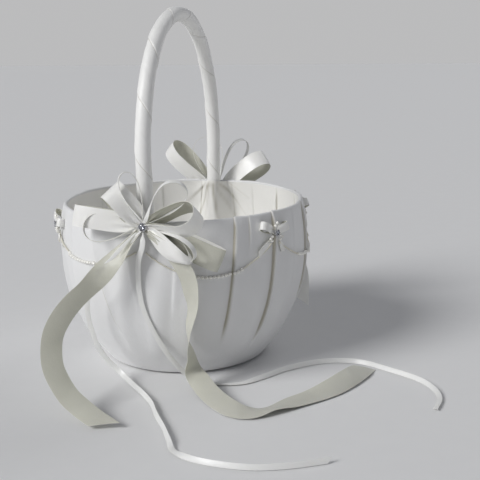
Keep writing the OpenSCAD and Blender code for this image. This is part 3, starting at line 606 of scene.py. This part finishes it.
# centre of the ribbon, then the direction across it, as in the CAD, millimetres
ROUTES = {
    "front_wide_tail_left": [
        [1, -109, 126, 0.6, -0.6, -0.5], [-8, -113, 116, 0.6, -0.6, -0.5],
        [-16, -117, 106, 0.65, -0.5, -0.6], [-25, -121, 96, 0.75, 0.1, -0.65],
        [-34, -127, 86, 0.6, 0.6, -0.5], [-43, -133, 77, 0.65, 0.6, -0.4],
        [-50, -140, 67, 0.75, 0.6, -0.2], [-54, -147, 56, 0.75, 0.65, -0.1],
        [-54, -152, 45, 0.75, 0.65, 0], [-51, -157, 34, 0.75, 0.65, 0],
        [-45, -160, 24, 0.7, 0.65, 0.1], [-36, -164, 15, 0.65, 0.65, 0.2],
        [-25, -168, 9, 0.5, 0.75, 0.3], [-14, -174, 6, 0.45, 0.8, 0.3],
        [-3, -180, 4, 0.4, 0.85, 0.25]],
    "front_wide_tail_right": [
        [8, -109, 125, -0.5, 0.45, -0.65], [21, -112, 117, -0.6, 0.45, -0.6],
        [32, -112, 106, -0.85, 0.35, -0.35], [38, -110, 93, -0.9, 0.35, -0.2],
        [39, -107, 79, -0.85, 0.5, -0.1], [38, -103, 65, -0.65, 0.75, 0],
        [34, -101, 50, -0.5, 0.85, 0.1], [32, -97, 36, -0.25, 0.95, 0],
        [32, -91, 24, 0.1, 0.95, 0.1], [34, -91, 14, 0.45, 0.85, 0.2],
        [41, -97, 8, 0.65, 0.5, 0.35], [52, -110, 5, 0.65, 0.6, 0.35],
        [65, -124, 4, 0.55, 0.7, 0.35], [79, -134, 3, 0.2, 0.9, 0.25],
        [91, -134, 2.5, -0.2, 0.95, 0.1], [103, -124, 2.5, -0.3, 0.95, -0.2],
        [116, -109, 2.5, -0.5, 0.8, 0.05], [129, -94, 3, -0.6, 0.7, 0.2],
        [141, -79, 5, -0.7, 0.5, 0.45], [150, -61, 6, -0.8, 0.25, 0.55],
        [156, -41, 5, -0.9, 0.2, 0.4], [158, -28, 3, -0.95, 0.1, 0.25]],
    "front_narrow_tail_left": [
        [3, -110, 127, 0.7, 0, -0.7], [-9, -114, 116, 0.7, 0, -0.7],
        [-20, -118, 104, 0.7, 0, -0.7], [-30, -122, 94, 0.7, 0, -0.6],
        [-37, -120, 84, 0.8, 0, -0.5], [-42, -111, 74, 0.9, 0, -0.3],
        [-45, -106, 63, 0.9, 0, 0], [-46, -102, 52, 0.9, 0, 0],
        [-45, -99, 42, 0.9, 0, 0], [-43, -96, 31, 0.9, 0, 0.3],
        [-37, -93, 19, 0.7, 0.2, 0.6], [-26, -92, 8, 0.5, 0.3, 0.8],
        [-12, -102, 3, 0.4, 0.3, 0.85], [3, -118, 2.5, 0.4, 0.3, 0.85],
        [15, -134, 2.5, 0.4, 0.3, 0.85], [25, -152, 2.5, 0.4, 0.3, 0.85],
        [37, -171, 2.5, 0.4, 0.2, 0.85], [47, -189, 2.5, 0.7, 0, 0.7],
        [55, -203, 1.5, 0.7, 0.7, 0.05], [68, -212, 2.2, 0.2, 0.5, 0.85],
        [86, -217, 2.5, 0, 0.5, 0.85], [111, -217, 2.5, 0, 0.5, 0.85],
        [135, -209, 2.5, 0, 0.5, 0.85], [158, -196, 2.5, 0, 0.5, 0.85]],
    "front_narrow_tail_right": [
        [5, -111, 126, 0.9, 0, 0], [4, -112, 115, 0.9, 0, 0],
        [0, -110, 104, 0.9, 0, 0], [-2, -107, 91, 0.9, 0, 0],
        [-2, -105, 77, 0.9, 0, 0], [0, -102, 62, 0.9, 0, 0],
        [5, -98, 46, 0.9, 0, 0.2], [11, -93, 31, 0.8, 0.2, 0.4],
        [18, -87, 17, 0.6, 0.4, 0.6], [27, -82, 6, 0.3, 0.7, 0.6],
        [41, -82, 1.5, 0, 1, 0.1], [56, -82, 1.2, -0.1, 1, 0.05],
        [70, -77, 1.5, -0.3, 0.9, 0.2], [83, -62, 2.2, -0.5, 0.5, 0.7],
        [99, -39, 2.5, -0.5, 0.4, 0.75], [124, -18, 2.5, -0.3, 0.5, 0.8],
        [152, -14, 2.5, 0, 0.5, 0.85], [178, -27, 2.5, 0.2, 0.5, 0.8],
        [202, -43, 2.5, 0.4, 0.3, 0.8], [215, -60, 2.2, 0.8, 0.2, 0.5],
        [220, -77, 1.5, 0.95, 0.1, 0.2], [218, -97, 1.5, 0.9, 0.1, 0.3]],
    "back_wide_tail_right": [
        [4, 110, 115, 0.5, 0, 0.8], [18, 111, 107, 0.5, 0, 0.85],
        [35, 107, 99, 0.45, 0.1, 0.85], [50, 98, 92, 0.4, 0.2, 0.85],
        [64, 87, 85, 0.4, 0.3, 0.8], [73, 78, 78, 0.4, 0.3, 0.8],
        [80, 69, 71, 0.4, 0.3, 0.8], [85, 61, 63, 0.4, 0.35, 0.75],
        [89, 55, 54, 0.4, 0.4, 0.75], [91, 48, 45, 0.45, 0.35, 0.75],
        [92, 41, 36, 0.5, 0.4, 0.7]],
    "back_wide_tail_left": [
        [-6, 110, 114, -0.6, 0, 0.7], [-17, 114, 101, -0.7, 0, 0.6],
        [-27, 117, 88, -0.85, 0, 0.4], [-34, 118, 73, -0.95, 0.1, 0.2],
        [-38, 118, 58, -0.95, 0.2, 0.1], [-39, 120, 42, -0.95, 0.2, 0],
        [-41, 124, 27, -0.85, 0.4, 0.1], [-47, 131, 15, -0.6, 0.7, 0.3],
        [-57, 140, 6, -0.1, 0.9, 0.3], [-69, 148, 2.5, 0.3, 0.9, 0.15]],
    "back_narrow_tail_left": [
        [-2, 111, 115, -0.9, 0, 0], [-5, 113, 102, -0.9, 0, 0],
        [-7, 113, 88, -0.9, 0, 0], [-7, 112, 73, -0.9, 0, 0], [-5, 110, 57, -0.9, 0, 0],
        [-3, 109, 40, -0.9, 0, 0], [-4, 111, 24, -0.9, 0.2, 0.1],
        [-8, 118, 10, -0.8, 0.3, 0.4], [-14, 127, 3, -0.6, -0.3, 0.7],
        [-22, 137, 2.5, -0.6, -0.4, 0.7], [-28, 150, 2.5, -0.7, -0.3, 0.7]],
    "back_narrow_tail_right": [
        [3, 111, 114, -0.9, 0, 0], [8, 114, 102, -0.9, 0, 0], [12, 114, 89, -0.9, 0, 0],
        [16, 112, 75, -0.9, 0, 0], [22, 109, 61, -0.9, 0, 0.1],
        [28, 106, 46, -0.9, 0, 0.2], [33, 104, 30, -0.9, 0, 0.2],
        [37, 106, 15, -0.8, 0.4, 0.3], [42, 112, 5, -0.5, 0.6, 0.6],
        [50, 121, 2.5, -0.5, 0.4, 0.8], [60, 131, 2.5, -0.5, 0.4, 0.8]],
}

RIBBON_LOOKS = [RIBBON, SHADED_REVERSE, SELVEDGE, DOUBLE]
# materials of a ribbon's two sides: satin out, satin in, the dull reverse on both (its darker colour
# painted shade), satin on both
SIDES = {"out": (0, 1), "in": (1, 0), "dull_shaded": (1, 1), "both": (3, 3)}
# which sides are satin, and how the cut end leans
TAIL_LOOKS = {
    # the front wide tails take the dull reverse on both sides, its darker colour painted shade for
    # their greyer look
    "front_wide_tail_left": ("dull_shaded", 0.9), "front_wide_tail_right": ("dull_shaded", -0.7),
    "front_narrow_tail_left": ("both", 0.9), "front_narrow_tail_right": ("both", 0.9),
    "back_wide_tail_right": ("out", 0.8), "back_wide_tail_left": ("out", -0.8),
    "back_narrow_tail_left": ("both", 0.8), "back_narrow_tail_right": ("both", -0.8),
}


def make_tail(name):
    wide = "wide" in name
    width = WIDE if wide else NARROW
    rows = curve_through(ROUTES[name], 8)
    rows = resampled(rows, int(lengths(rows[:, :3])[-1] / (1.8 if wide else 1.5)))
    line, across = rows[:, :3], rows[:, 3:]
    far = lengths(line)
    share = 0.4 + 0.6 * smooth(far, 0, 26 if wide else 6)
    sides, slant = TAIL_LOOKS[name]
    mesh = Mesh("streamer_" + name.replace("_tail", ""), RIBBON_LOOKS)
    ribbon(mesh, line, across, width, share, folds=2.5 if wide else 0.5,
           columns=21 if wide else 7, cup=0.5 if wide else 0.15, slant=slant,
           faces=SIDES[sides], seed=len(name))
    made = mesh.build()
    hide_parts(name)


for tail_name in ROUTES:
    make_tail(tail_name)


# ---------------------------------------------------------------- bows
# direction, length, spread, lean and turn, then width, which side is satin and how far its end curls
FRONT_WIDE = [[132, 37, 13, 4, -28, WIDE + 2, "out"], [174, 57, 10, -4, -10, WIDE, "out"],
              [12, 45, 21, 9, -46, WIDE, "out"], [-24, 63, 9, -3, 4, WIDE + 2, "in"],
              [-33, 44, 9, 12, -22, WIDE, "out", 0.55]]
FRONT_NARROW = [[106, 43, 14, 10, 62], [46, 46, 21, 8, 66], [-177, 46, 21, 6, 70],
                [-25, 47, 18, 14, 62]]
BACK_WIDE = [[44, 63, 18, 2, 25], [145, 58, 20, 5, 30], [-24, 44, 10, -1, 8],
             [204, 44, 10, -1, -8]]
BACK_NARROW = [[77, 54, 27, 4, 70], [118, 57, 20, 4, 45], [-50, 42, 22, 8, 75]]
# turn round the bowl, radius and height of the two large bows
FRONT_BOW, BACK_BOW = (2.2, 106, 130), (181, 106, 118)
KNOT_R, KNOT_DEEP = 4.2, 3.0


def make_loops(prefix, table, where, wide):
    usual = [WIDE, "out"] if wide else [NARROW, "both"]
    for number, row in enumerate(table, 1):
        line, across, share = loop_line(row, 2.6, 72)
        width, side, *curled = row[5:] or usual
        name = f"{prefix}_{number}"
        mesh = Mesh(name.replace("_loop", "_bow_loop"), RIBBON_LOOKS)
        line, across = place(line, *where), turned(across, where[0])
        far = lengths(line) / lengths(line)[-1]
        curl = 1 - curled[0] * np.exp(-((far - 0.5) / 0.11) ** 2) if curled else None
        ribbon(mesh, line, across, width, share, folds=2.5 if wide else 0.5,
               columns=25 if wide else 7, cup=0.3 if wide else 0.1, faces=SIDES[side],
               seed=number, curl=curl)
        made = mesh.build()
        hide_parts(name)


def make_knot(side, where):
    """The band of ribbon pulled tight round the middle of the bow, with folds across it."""
    rows, cols = 26, 40
    u = np.linspace(0.06, math.pi - 0.06, rows)[:, None]
    v = np.linspace(0, 2 * math.pi, cols, endpoint=False)[None, :]
    ridge = 1 + 0.07 * np.sin(10 * u + 0.8) * np.sin(u)
    x = KNOT_R * np.sin(u) * np.cos(v) * ridge
    y = KNOT_DEEP * np.sin(u) * np.sin(v) * ridge
    z = KNOT_R * np.cos(u) + 0 * v
    points = np.stack(np.broadcast_arrays(x, y, z), -1)
    mesh = Mesh(side + "_bow_knot", [RIBBON])
    faces = grid_faces(rows, cols) + end_faces(rows, cols)
    down, round_it = 0.5, 0.6  # cloth between two rows and two columns, millimetres
    uvs = [[(i * down, j * round_it), (i * down, (j + 1) * round_it),
            ((i + 1) * down, (j + 1) * round_it), ((i + 1) * down, j * round_it)]
           for i in range(rows - 1) for j in range(cols)]
    uvs += [[(0, 0)] * cols] * 2
    mesh.add(place(points.reshape(-1, 3), *where), faces, uvs, 0)
    made = mesh.build(sharp=80)
    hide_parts(side + "_knot")


for bow_side, bow_where, wide_rows, narrow_rows in (
        ("front", FRONT_BOW, FRONT_WIDE, FRONT_NARROW), ("back", BACK_BOW, BACK_WIDE, BACK_NARROW)):
    make_knot(bow_side, bow_where)
    make_loops(bow_side + "_wide_loop", wide_rows, bow_where, True)
    make_loops(bow_side + "_narrow_loop", narrow_rows, bow_where, False)


# ---------------------------------------------------------------- stones
BIG_STONE_R, SMALL_STONE_R = 2.6, 2.0
BIG_STONE_OUT, SMALL_STONE_OUT = 3.0, 2.8


def add_stone(mesh, r, where, out):
    """A round brilliant with its foil back, its top towards -y, seated some millimetres out."""
    turns = np.radians(np.arange(16) * 22.5)

    def ring(radius, height, step=1, shift=0.0):
        a = turns[::step] + math.radians(shift)
        return [(radius * math.cos(t), -out - height, radius * math.sin(t)) for t in a]

    table, star = ring(r * 0.55, 2.35, 2), ring(r * 0.8, 2.0, 2, 22.5)
    girdle, under, tip = ring(r, 1.5), ring(r, 1.25), [(0, -out - 0.55, 0)]
    points = np.array(table + star + girdle + under + tip, float)
    t0, s0, g0, u0, p0 = 0, 8, 16, 32, 48
    faces, kinds = [tuple(range(8))], [0]
    for k in range(8):
        n, g = (k + 1) % 8, 2 * k
        faces += [(t0 + k, s0 + k, t0 + n), (t0 + n, s0 + k, g0 + (g + 2) % 16, s0 + n),
                  (s0 + k, g0 + g, g0 + g + 1), (s0 + k, g0 + g + 1, g0 + (g + 2) % 16)]
        kinds += [0, 0, 0, 0]
    for k in range(16):
        n = (k + 1) % 16
        faces += [(g0 + k, u0 + k, u0 + n, g0 + n), (u0 + k, p0, u0 + n)]
        kinds += [0, 1]
    mesh.add(place(points, *where), faces, None, kinds)


SIDE_TURNS, SIDE_Z = [60, 120, 240, 300], 117
SIDE_R = float(wall_r(SIDE_Z)) + 1.8
for bow_side, bow_where in (("front", FRONT_BOW), ("back", BACK_BOW)):
    stone = Mesh(bow_side + "_crystal", [CRYSTAL, FOIL])
    add_stone(stone, BIG_STONE_R, bow_where, BIG_STONE_OUT)
    piece = stone.build(flat=True)
    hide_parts(bow_side + "_stone")
stones = Mesh("side_crystals", [CRYSTAL, FOIL])
for side_turn in SIDE_TURNS:
    add_stone(stones, SMALL_STONE_R, (side_turn, SIDE_R, SIDE_Z), SMALL_STONE_OUT)
piece = stones.build(flat=True)
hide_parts("side_stones")


# ---------------------------------------------------------------- side bows and pearls
SIDE_TAILS = [[[-4, -1.2, -4, 0.65, 0, -0.75], [-8, -2.2, -7, 0.65, 0, -0.75],
               [-13, -1.5, -11, 0.65, 0, -0.75], [-17, -0.5, -15, 0.65, 0, -0.75]],
              [[3, -1.2, -5, 0.85, 0, 0.5], [5, -2.2, -8.5, 0.85, 0, 0.5],
               [8, -1.5, -13, 0.85, 0, 0.5], [10, -0.5, -17, 0.85, 0, 0.5]]]
SIDE_LOOPS = [[152, 16, 6, 4, -12], [14, 15, 6, 4, 12]]
SIDE_KNOT_R, CLUSTER_PEARL_R = 1.8, 1.15
PEARL_SPOTS = [[0.8, 7.6], [-1.2, 5.6], [2.6, 5.6], [-4.6, -2.4], [-6.8, -3.8], [-5, -5.6],
               [4.6, -2.6], [6.6, -4.2], [4.4, -5.6]]


def add_ball(mesh, centre, r, squash=1.0, rows=9, cols=14):
    """A pearl, or the little knot of a side bow."""
    u = np.linspace(0, math.pi, rows)[1:-1, None]
    v = np.linspace(0, 2 * math.pi, cols, endpoint=False)[None, :]
    ball = np.stack(np.broadcast_arrays(np.sin(u) * np.cos(v), np.sin(u) * np.sin(v),
                                        np.cos(u) * squash), -1).reshape(-1, 3)
    ball = np.concatenate([ball, [[0, 0, squash], [0, 0, -squash]]])
    n = rows - 2
    faces = grid_faces(n, cols) + [(n * cols, (j + 1) % cols, j) for j in range(cols)]
    faces += [(n * cols + 1, (n - 1) * cols + j, (n - 1) * cols + (j + 1) % cols)
              for j in range(cols)]
    mesh.add(np.asarray(centre) + ball * r, faces, None, 0)


for number, side_turn in enumerate(SIDE_TURNS, 1):
    where = (side_turn, SIDE_R, SIDE_Z)
    mesh = Mesh(f"side_bow_ribbons_{number}", RIBBON_LOOKS)
    for k, row in enumerate(SIDE_LOOPS):
        line, across, share = loop_line(row, 1.4, 40)
        ribbon(mesh, place(line, *where), turned(across, side_turn), SIDE, share, folds=1.5,
               columns=15, cup=0.2, seed=k + number)
    for k, route in enumerate(SIDE_TAILS):
        rows = resampled(curve_through(route, 8), 26)
        share = 0.45 + 0.55 * smooth(lengths(rows[:, :3]), 0, 8)
        ribbon(mesh, place(rows[:, :3], *where), turned(rows[:, 3:], side_turn), SIDE - 2, share,
               folds=1.5, columns=13, slant=0.7, seed=k + 3 * number)
    add_ball(mesh, place([[0, -1, 0]], *where)[0], SIDE_KNOT_R, rows=11, cols=18)
    piece = mesh.build()
    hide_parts(f"side_bow_{number}")

pearls = Mesh("side_pearl_clusters", [PEARL])
rng = np.random.default_rng(5)
for side_turn in SIDE_TURNS:
    for x, z in PEARL_SPOTS:
        add_ball(pearls, place([[x, -3.4, z]], side_turn, SIDE_R, SIDE_Z)[0],
                 CLUSTER_PEARL_R * rng.uniform(0.95, 1.05))
piece = pearls.build(sharp=80)
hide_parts("side_pearls")

# a swag hangs between two bows; its pearls lie about its middle, a turn round the bowl in degrees
SWAG_MIDDLE, SWAG_SLACK = [32, 90, 150, 210, 270, 327], [1, 0.95, 1, 1, 0.95, 0.65]
HALF_ANGLE, SWAG_TOP_Z, SWAG_DROP, SWAG_OFF = 28, 109, 20, 1.5
SWAG_PEARLS, PEARL_R, PEARL_GAP = 13, 1.5, 0.05
PLY_OUT, PLY_R, PLY_TURN = 0.32, 0.38, 2.2


def swag_point(k, p):
    """Points on the cover along swag k, where p runs from -1 to 1."""
    degrees = 30 + 60 * k + HALF_ANGLE * p
    turn = np.radians(degrees)
    z = SWAG_TOP_Z - SWAG_DROP * SWAG_SLACK[k] * (1 - p * p)
    r = cover_r(degrees, z).reshape(np.shape(p)) + SWAG_OFF
    return np.stack([r * np.sin(turn), -r * np.cos(turn), z + 0 * p], -1)


def add_thread(mesh, k, low, high):
    """A two-ply twisted thread."""
    line = swag_point(k, np.linspace(low, high, 90))
    travel = unit(np.gradient(line, axis=0))
    out = unit(line * [1, 1, 0])
    up = np.cross(travel, out)
    far = lengths(line)
    cols = 8
    for ply in (0, math.pi):
        a = (far / PLY_TURN * 2 * math.pi + ply)[:, None]
        centre = line + PLY_OUT * (out * np.cos(a) + up * np.sin(a))
        v = np.linspace(0, 2 * math.pi, cols, endpoint=False)
        ring = (centre[:, None] + PLY_R * (out[:, None] * np.cos(v)[None, :, None]
                                           + up[:, None] * np.sin(v)[None, :, None]))
        faces = grid_faces(len(line), cols) + end_faces(len(line), cols)
        mesh.add(ring.reshape(-1, 3), faces, None, 1)


spacing = (2 * PEARL_R + PEARL_GAP) / (math.radians(HALF_ANGLE) * BELLY_R)
half = (SWAG_PEARLS - 1) / 2
for k in range(6):
    mesh = Mesh(f"swag_{k + 1}", [PEARL, THREAD])
    middle = (SWAG_MIDDLE[k] - 30 - 60 * k) / HALF_ANGLE
    for i in np.arange(-half, half + 1):
        add_ball(mesh, swag_point(k, np.array(middle + i * spacing)),
                 PEARL_R * rng.uniform(0.94, 1.04), squash=rng.uniform(0.9, 1.0))
    low, high = middle - (half + 0.4) * spacing, middle + (half + 0.4) * spacing
    if low > -0.95:
        add_thread(mesh, k, -1, low)
    if high < 0.95:
        add_thread(mesh, k, high, 1)
    piece = mesh.build(sharp=80)
    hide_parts(f"pearl_swag_{k + 1}")


# ---------------------------------------------------------------- lining
COLLAR_Z, LEG_LEAN, LEG_TOP_Y, LEG_TOP_Z = 129.0, 2.6, 91.87, 170.33
OVER_LEG = 7.6  # from the middle of a leg to the lining over it
# directions and heights of the folds that spread from each leg, degrees from straight down
LEG_FOLDS = ((-57, 0.7), (-38, 1.0), (-24, 0.5), (-9, 1.3), (13, 0.6), (24, 1.5), (47, 0.9))


def leg_r(z):
    """How far out the middle of a handle leg lies at heights."""
    return LEG_TOP_Y - (LEG_TOP_Z - np.asarray(z, float)) * math.tan(math.radians(LEG_LEAN))


def make_lining():
    """Satin inside the bowl, tucked, and gathered over the two feet of the handle."""
    z = np.concatenate([np.linspace(4.2, 40, 14), np.linspace(42, 104, 32),
                        np.linspace(105.5, 124, 15), np.linspace(124.8, 130.4, 9)])
    weight = smooth(z, 8, 30) * (1 - 0.75 * smooth(z, 118, 130))
    angle, lift, shade = tucked(LINING_TUCKS, z, weight, per_mm=0.8)
    a, up = np.radians(angle), z[:, None]
    base = (wall_r(z) - LINING_IN)[:, None]
    lift = lift * 0.9 + 0.25 * smooth(up, 8, 30) * (waves(a * 5, up / 22, 9) + 1)
    raised = np.zeros_like(lift)
    for foot in (0.0, math.pi):
        x = base * np.sin(a - foot)
        near = np.cos(a - foot) > 0.5
        tall = base[:, 0] - (leg_r(z) - OVER_LEG)
        rise = smooth(z, 36, 78)
        wide = 13 + 17 * smooth(z, COLLAR_Z, 60)
        tent = np.clip(1 - np.abs(x) / wide[:, None], 0, 1)
        tent = np.clip(tent * (1.45 - 0.25 * smooth(up, COLLAR_Z, 90)), 0, 1)
        tent = tent * tent * (3 - 2 * tent)
        down = COLLAR_Z + 3 - up
        spoke = np.degrees(np.arctan2(x, np.maximum(down, 0.01) + 5))
        away = np.hypot(x, down)
        ripple, dark = np.zeros_like(x), np.zeros_like(x)
        for ray, size in LEG_FOLDS:
            u = np.radians(spoke - ray) * np.maximum(away, 4)
            step = 0.5 + 0.5 * np.tanh(u / 0.5)
            ripple += size * (step * np.exp(-np.abs(u) / 4.5)
                              - 0.35 * (1 - step) * np.exp(-np.abs(u) / 3.0))
            dark += size * np.exp(-((u + 0.4) / 0.8) ** 2)
        reach = np.exp(-((away - 10) / 26) ** 2) * smooth(up, COLLAR_Z + 3, COLLAR_Z - 3)
        lift = lift + np.where(near, (tall * rise)[:, None] * tent + 1.1 * ripple * reach, 0)
        raised = raised + np.where(near, 3.4 * np.exp(-(x / 9.0) ** 2) * smooth(up, 112, 130), 0)
        shade = shade + np.where(near, 0.5 * dark * reach * (np.abs(x) < 34), 0)
    radius = base - lift
    middle = np.stack([radius * np.sin(a), -radius * np.cos(a), up + raised], -1)
    around = np.concatenate([angle, angle[:, :1] + 360], 1) * math.pi / 180 * BELLY_R
    far = lengths(np.stack([wall_r(z), z], 1))
    uv = np.stack(np.broadcast_arrays(around, far[:, None]), -1)
    mesh = Mesh("inner_lining", [LINING])
    solid_sheet(mesh, middle, CLOTH_T, uv, closed=True, kinds=(0, 0, 0),
                folds=np.clip(shade, 0, 0.8))
    made = mesh.build(sharp=75)
    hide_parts("lining")


make_cover()
make_lining()


def make_pad():
    """The padded floor: a crowned disc of satin over wadding, puckered at its edge."""
    rings, cols, under_z = 26, 144, 5.75
    a = np.linspace(0, 2 * math.pi, cols, endpoint=False)[None, :]
    t = np.linspace(0.02, 1, rings)[:, None]
    edge = 69.5
    pucker = 0.25 * np.sin(36 * a + 0.5 * np.sin(5 * a)) * smooth(t, 0.72, 0.97)
    top = 5.8 + 5.2 * np.sqrt(np.clip(1 - t**7, 0, 1)) + pucker + 0.25 * waves(t * 6, a * 3, 11)
    top = np.where(t > 0.995, 7.2, top)
    low = np.linspace(0.985, 0.02, 8)[:, None]
    points = np.concatenate([
        np.stack(np.broadcast_arrays(edge * share * np.cos(a), edge * share * np.sin(a), z), -1)
        for share, z in ((t, top), (low, under_z + 0 * a))])
    count = len(points)
    points = points.reshape(-1, 3)
    faces = grid_faces(count, cols)
    uvs = [[tuple(points[n][:2]) for n in face] for face in faces] + [[(0, 0)] * cols] * 2
    mesh = Mesh("floor_cushion", [LINING])
    mesh.add(points, faces + end_faces(count, cols), uvs, 0)
    made = mesh.build(sharp=60)
    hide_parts("floor_pad")


make_pad()


# ---------------------------------------------------------------- handle
HALF_W, SHOULDER_R, SPRING_Z, RISE = 92.0, 125.0, 176.0, 107.0
IN, UNDER = SHOULDER_R - HALF_W, SHOULDER_R - RISE
TOP_R = SHOULDER_R - (IN**2 + UNDER**2) / (2 * UNDER)
MEET = math.acos(IN / (SHOULDER_R - TOP_R))  # where the shoulder's arc meets the crown's
WRAP_FOOT_Z, WRAP_R, WRAP_PITCH, WRAP_T = 97.0, 5.82, 46.0, 0.35


def arch_line(foot_z):
    """The handle's centreline from the +Y foot to the -Y foot."""
    lean = math.radians(LEG_LEAN)
    t = np.linspace(0, 1, 60)[:, None]
    top = np.array([SHOULDER_R * math.cos(lean) - IN, SPRING_Z - SHOULDER_R * math.sin(lean)])
    foot = np.array([top[0] - (top[1] - foot_z) * math.tan(lean), foot_z])
    leg = foot + (top - foot) * t
    a = np.linspace(-lean, MEET, 90)
    shoulder = np.stack([SHOULDER_R * np.cos(a) - IN, SPRING_Z + SHOULDER_R * np.sin(a)], 1)
    a = np.linspace(MEET, math.pi / 2, 120)
    crown = np.stack([TOP_R * np.cos(a), SPRING_Z + RISE - TOP_R + TOP_R * np.sin(a)], 1)
    half = np.concatenate([leg, shoulder[1:], crown[1:]])
    full = np.concatenate([half, half[-2::-1] * [-1, 1]])
    return np.stack([0 * full[:, 0], full[:, 0], full[:, 1]], 1)


def make_wrap():
    """Satin ribbon wound round the padded handle, each turn's edge lying over the turn before."""
    line = arch_line(WRAP_FOOT_Z)
    line = resampled(line, int(lengths(line)[-1] / 1.4))
    far = lengths(line)
    travel = unit(np.gradient(line, axis=0))
    side = np.tile([1.0, 0, 0], (len(line), 1))
    out = np.cross(side, travel)
    steps = np.concatenate([[0.0, 0.035, 0.09, 0.17, 0.3], np.linspace(0.48, 6.0, 36),
                            [6.12, 6.2, 6.25]])
    phase = (far / WRAP_PITCH * 2 * math.pi + 0.9)[:, None] + 0.16 * np.sin(far / 31)[:, None]
    angle = steps[None, :] + phase
    lap = 0.5 + 0.5 * np.tanh((steps - 0.05) / 0.03)
    seam = np.where(steps > 3.2, 0.0, lap)
    fall = np.where(steps < 3.2, np.exp(-steps / 2.2), 0.0)
    r = WRAP_R + (0.42 * seam * fall)[None, :] + 0.05 * waves(far[:, None] / 7, steps[None, :], 21)
    near_seam = np.exp(-((steps[None, :] - 0.5) / 0.6) ** 2)
    r = r + 0.09 * np.sin(far[:, None] / 2.1 + 3 * steps[None, :]) * near_seam
    middle = line[:, None] + r[..., None] * (side[:, None] * np.cos(angle)[..., None]
                                            + out[:, None] * np.sin(angle)[..., None])
    shade = 0.5 * np.exp(-((steps - 6.22) / 0.05) ** 2) + 0.35 * np.exp(-(steps / 0.04) ** 2)
    shade = np.broadcast_to(shade[None, :], r.shape)
    around = np.append(steps, 2 * math.pi) * 6.0
    uv = np.stack(np.broadcast_arrays(around[None, :], far[:, None]), -1)
    mesh = Mesh("handle_ribbon", [WRAP])
    solid_sheet(mesh, middle, WRAP_T, uv, closed=True, kinds=(0, 0, 0), folds=shade)
    made = mesh.build(sharp=60)
    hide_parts("handle_wrap")


make_wrap()


# ---------------------------------------------------------------- CAD parts that stay as they are
KEPT = {"base_disc": BASE_CLOTH, "shell": PULP, "base_board": PULP, "rim_wire": STEEL,
        "handle_core": STEEL, "handle_padding": FOAM, "front_foot_bracket": STEEL,
        "back_foot_bracket": STEEL, "front_foot_rivets": STEEL, "back_foot_rivets": STEEL,
        "front_setting": SILVER, "back_setting": SILVER, "side_settings": SILVER}
for kept, look in KEPT.items():
    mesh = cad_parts[kept].data
    mesh.materials.clear()
    mesh.materials.append(look)


# ---------------------------------------------------------------- floor and light
HORIZON, ZENITH = (0.5, 0.5, 0.505), (0.19, 0.195, 0.21)


def make_floor():
    """A plain pale sheet of paper."""
    mesh, far = bpy.data.meshes.new("floor"), 6
    mesh.from_pydata([(-far, -far, 0), (far, -far, 0), (far, far, 0), (-far, far, 0)], [],
                     [(0, 1, 2, 3)])
    mesh.materials.append(grained("floor_paper", (0.8, 0.8, 0.8), 0.97, 60, (0.8, 0.9), bump=0.03))
    floor = bpy.data.objects.new("floor", mesh)
    bpy.context.scene.collection.objects.link(floor)


def lamp(name, towards, power, softness):
    """A distant soft white light that shines from a direction; softness in degrees."""
    data = bpy.data.lights.new(name, "SUN")
    data.energy, data.angle = power, math.radians(softness)
    light = bpy.data.objects.new(name, data)
    light.rotation_euler = Vector(towards).to_track_quat("Z", "Y").to_euler()
    bpy.context.scene.collection.objects.link(light)


def make_world():
    """Dim studio air with a bright band at the horizon, of the floor's tone."""
    world = bpy.data.worlds.new("studio")
    world.use_nodes = True
    tree = world.node_tree
    sky = tree.nodes["Background"]
    place = tree.nodes.new("ShaderNodeTexCoord")
    split = tree.nodes.new("ShaderNodeSeparateXYZ")
    tree.links.new(place.outputs["Generated"], split.inputs["Vector"])
    height = tree.nodes.new("ShaderNodeMapRange")
    for socket, value in (("From Min", 0.05), ("From Max", 0.16), ("To Min", 0.0), ("To Max", 1.0)):
        height.inputs[socket].default_value = value
    tree.links.new(split.outputs["Z"], height.inputs["Value"])
    tree.links.new(mixed(tree, height.outputs["Result"], HORIZON + (1,), ZENITH + (1,)),
                   sky.inputs["Color"])
    sky.inputs["Strength"].default_value = 1.0
    bpy.context.scene.world = world


make_floor()
make_world()
lamp("key", (-0.55, -0.62, 0.56), 2.1, 24)
lamp("top_rim", (0.35, 0.75, 0.7), 0.35, 30)
bpy.context.scene.view_settings.view_transform = "Standard"
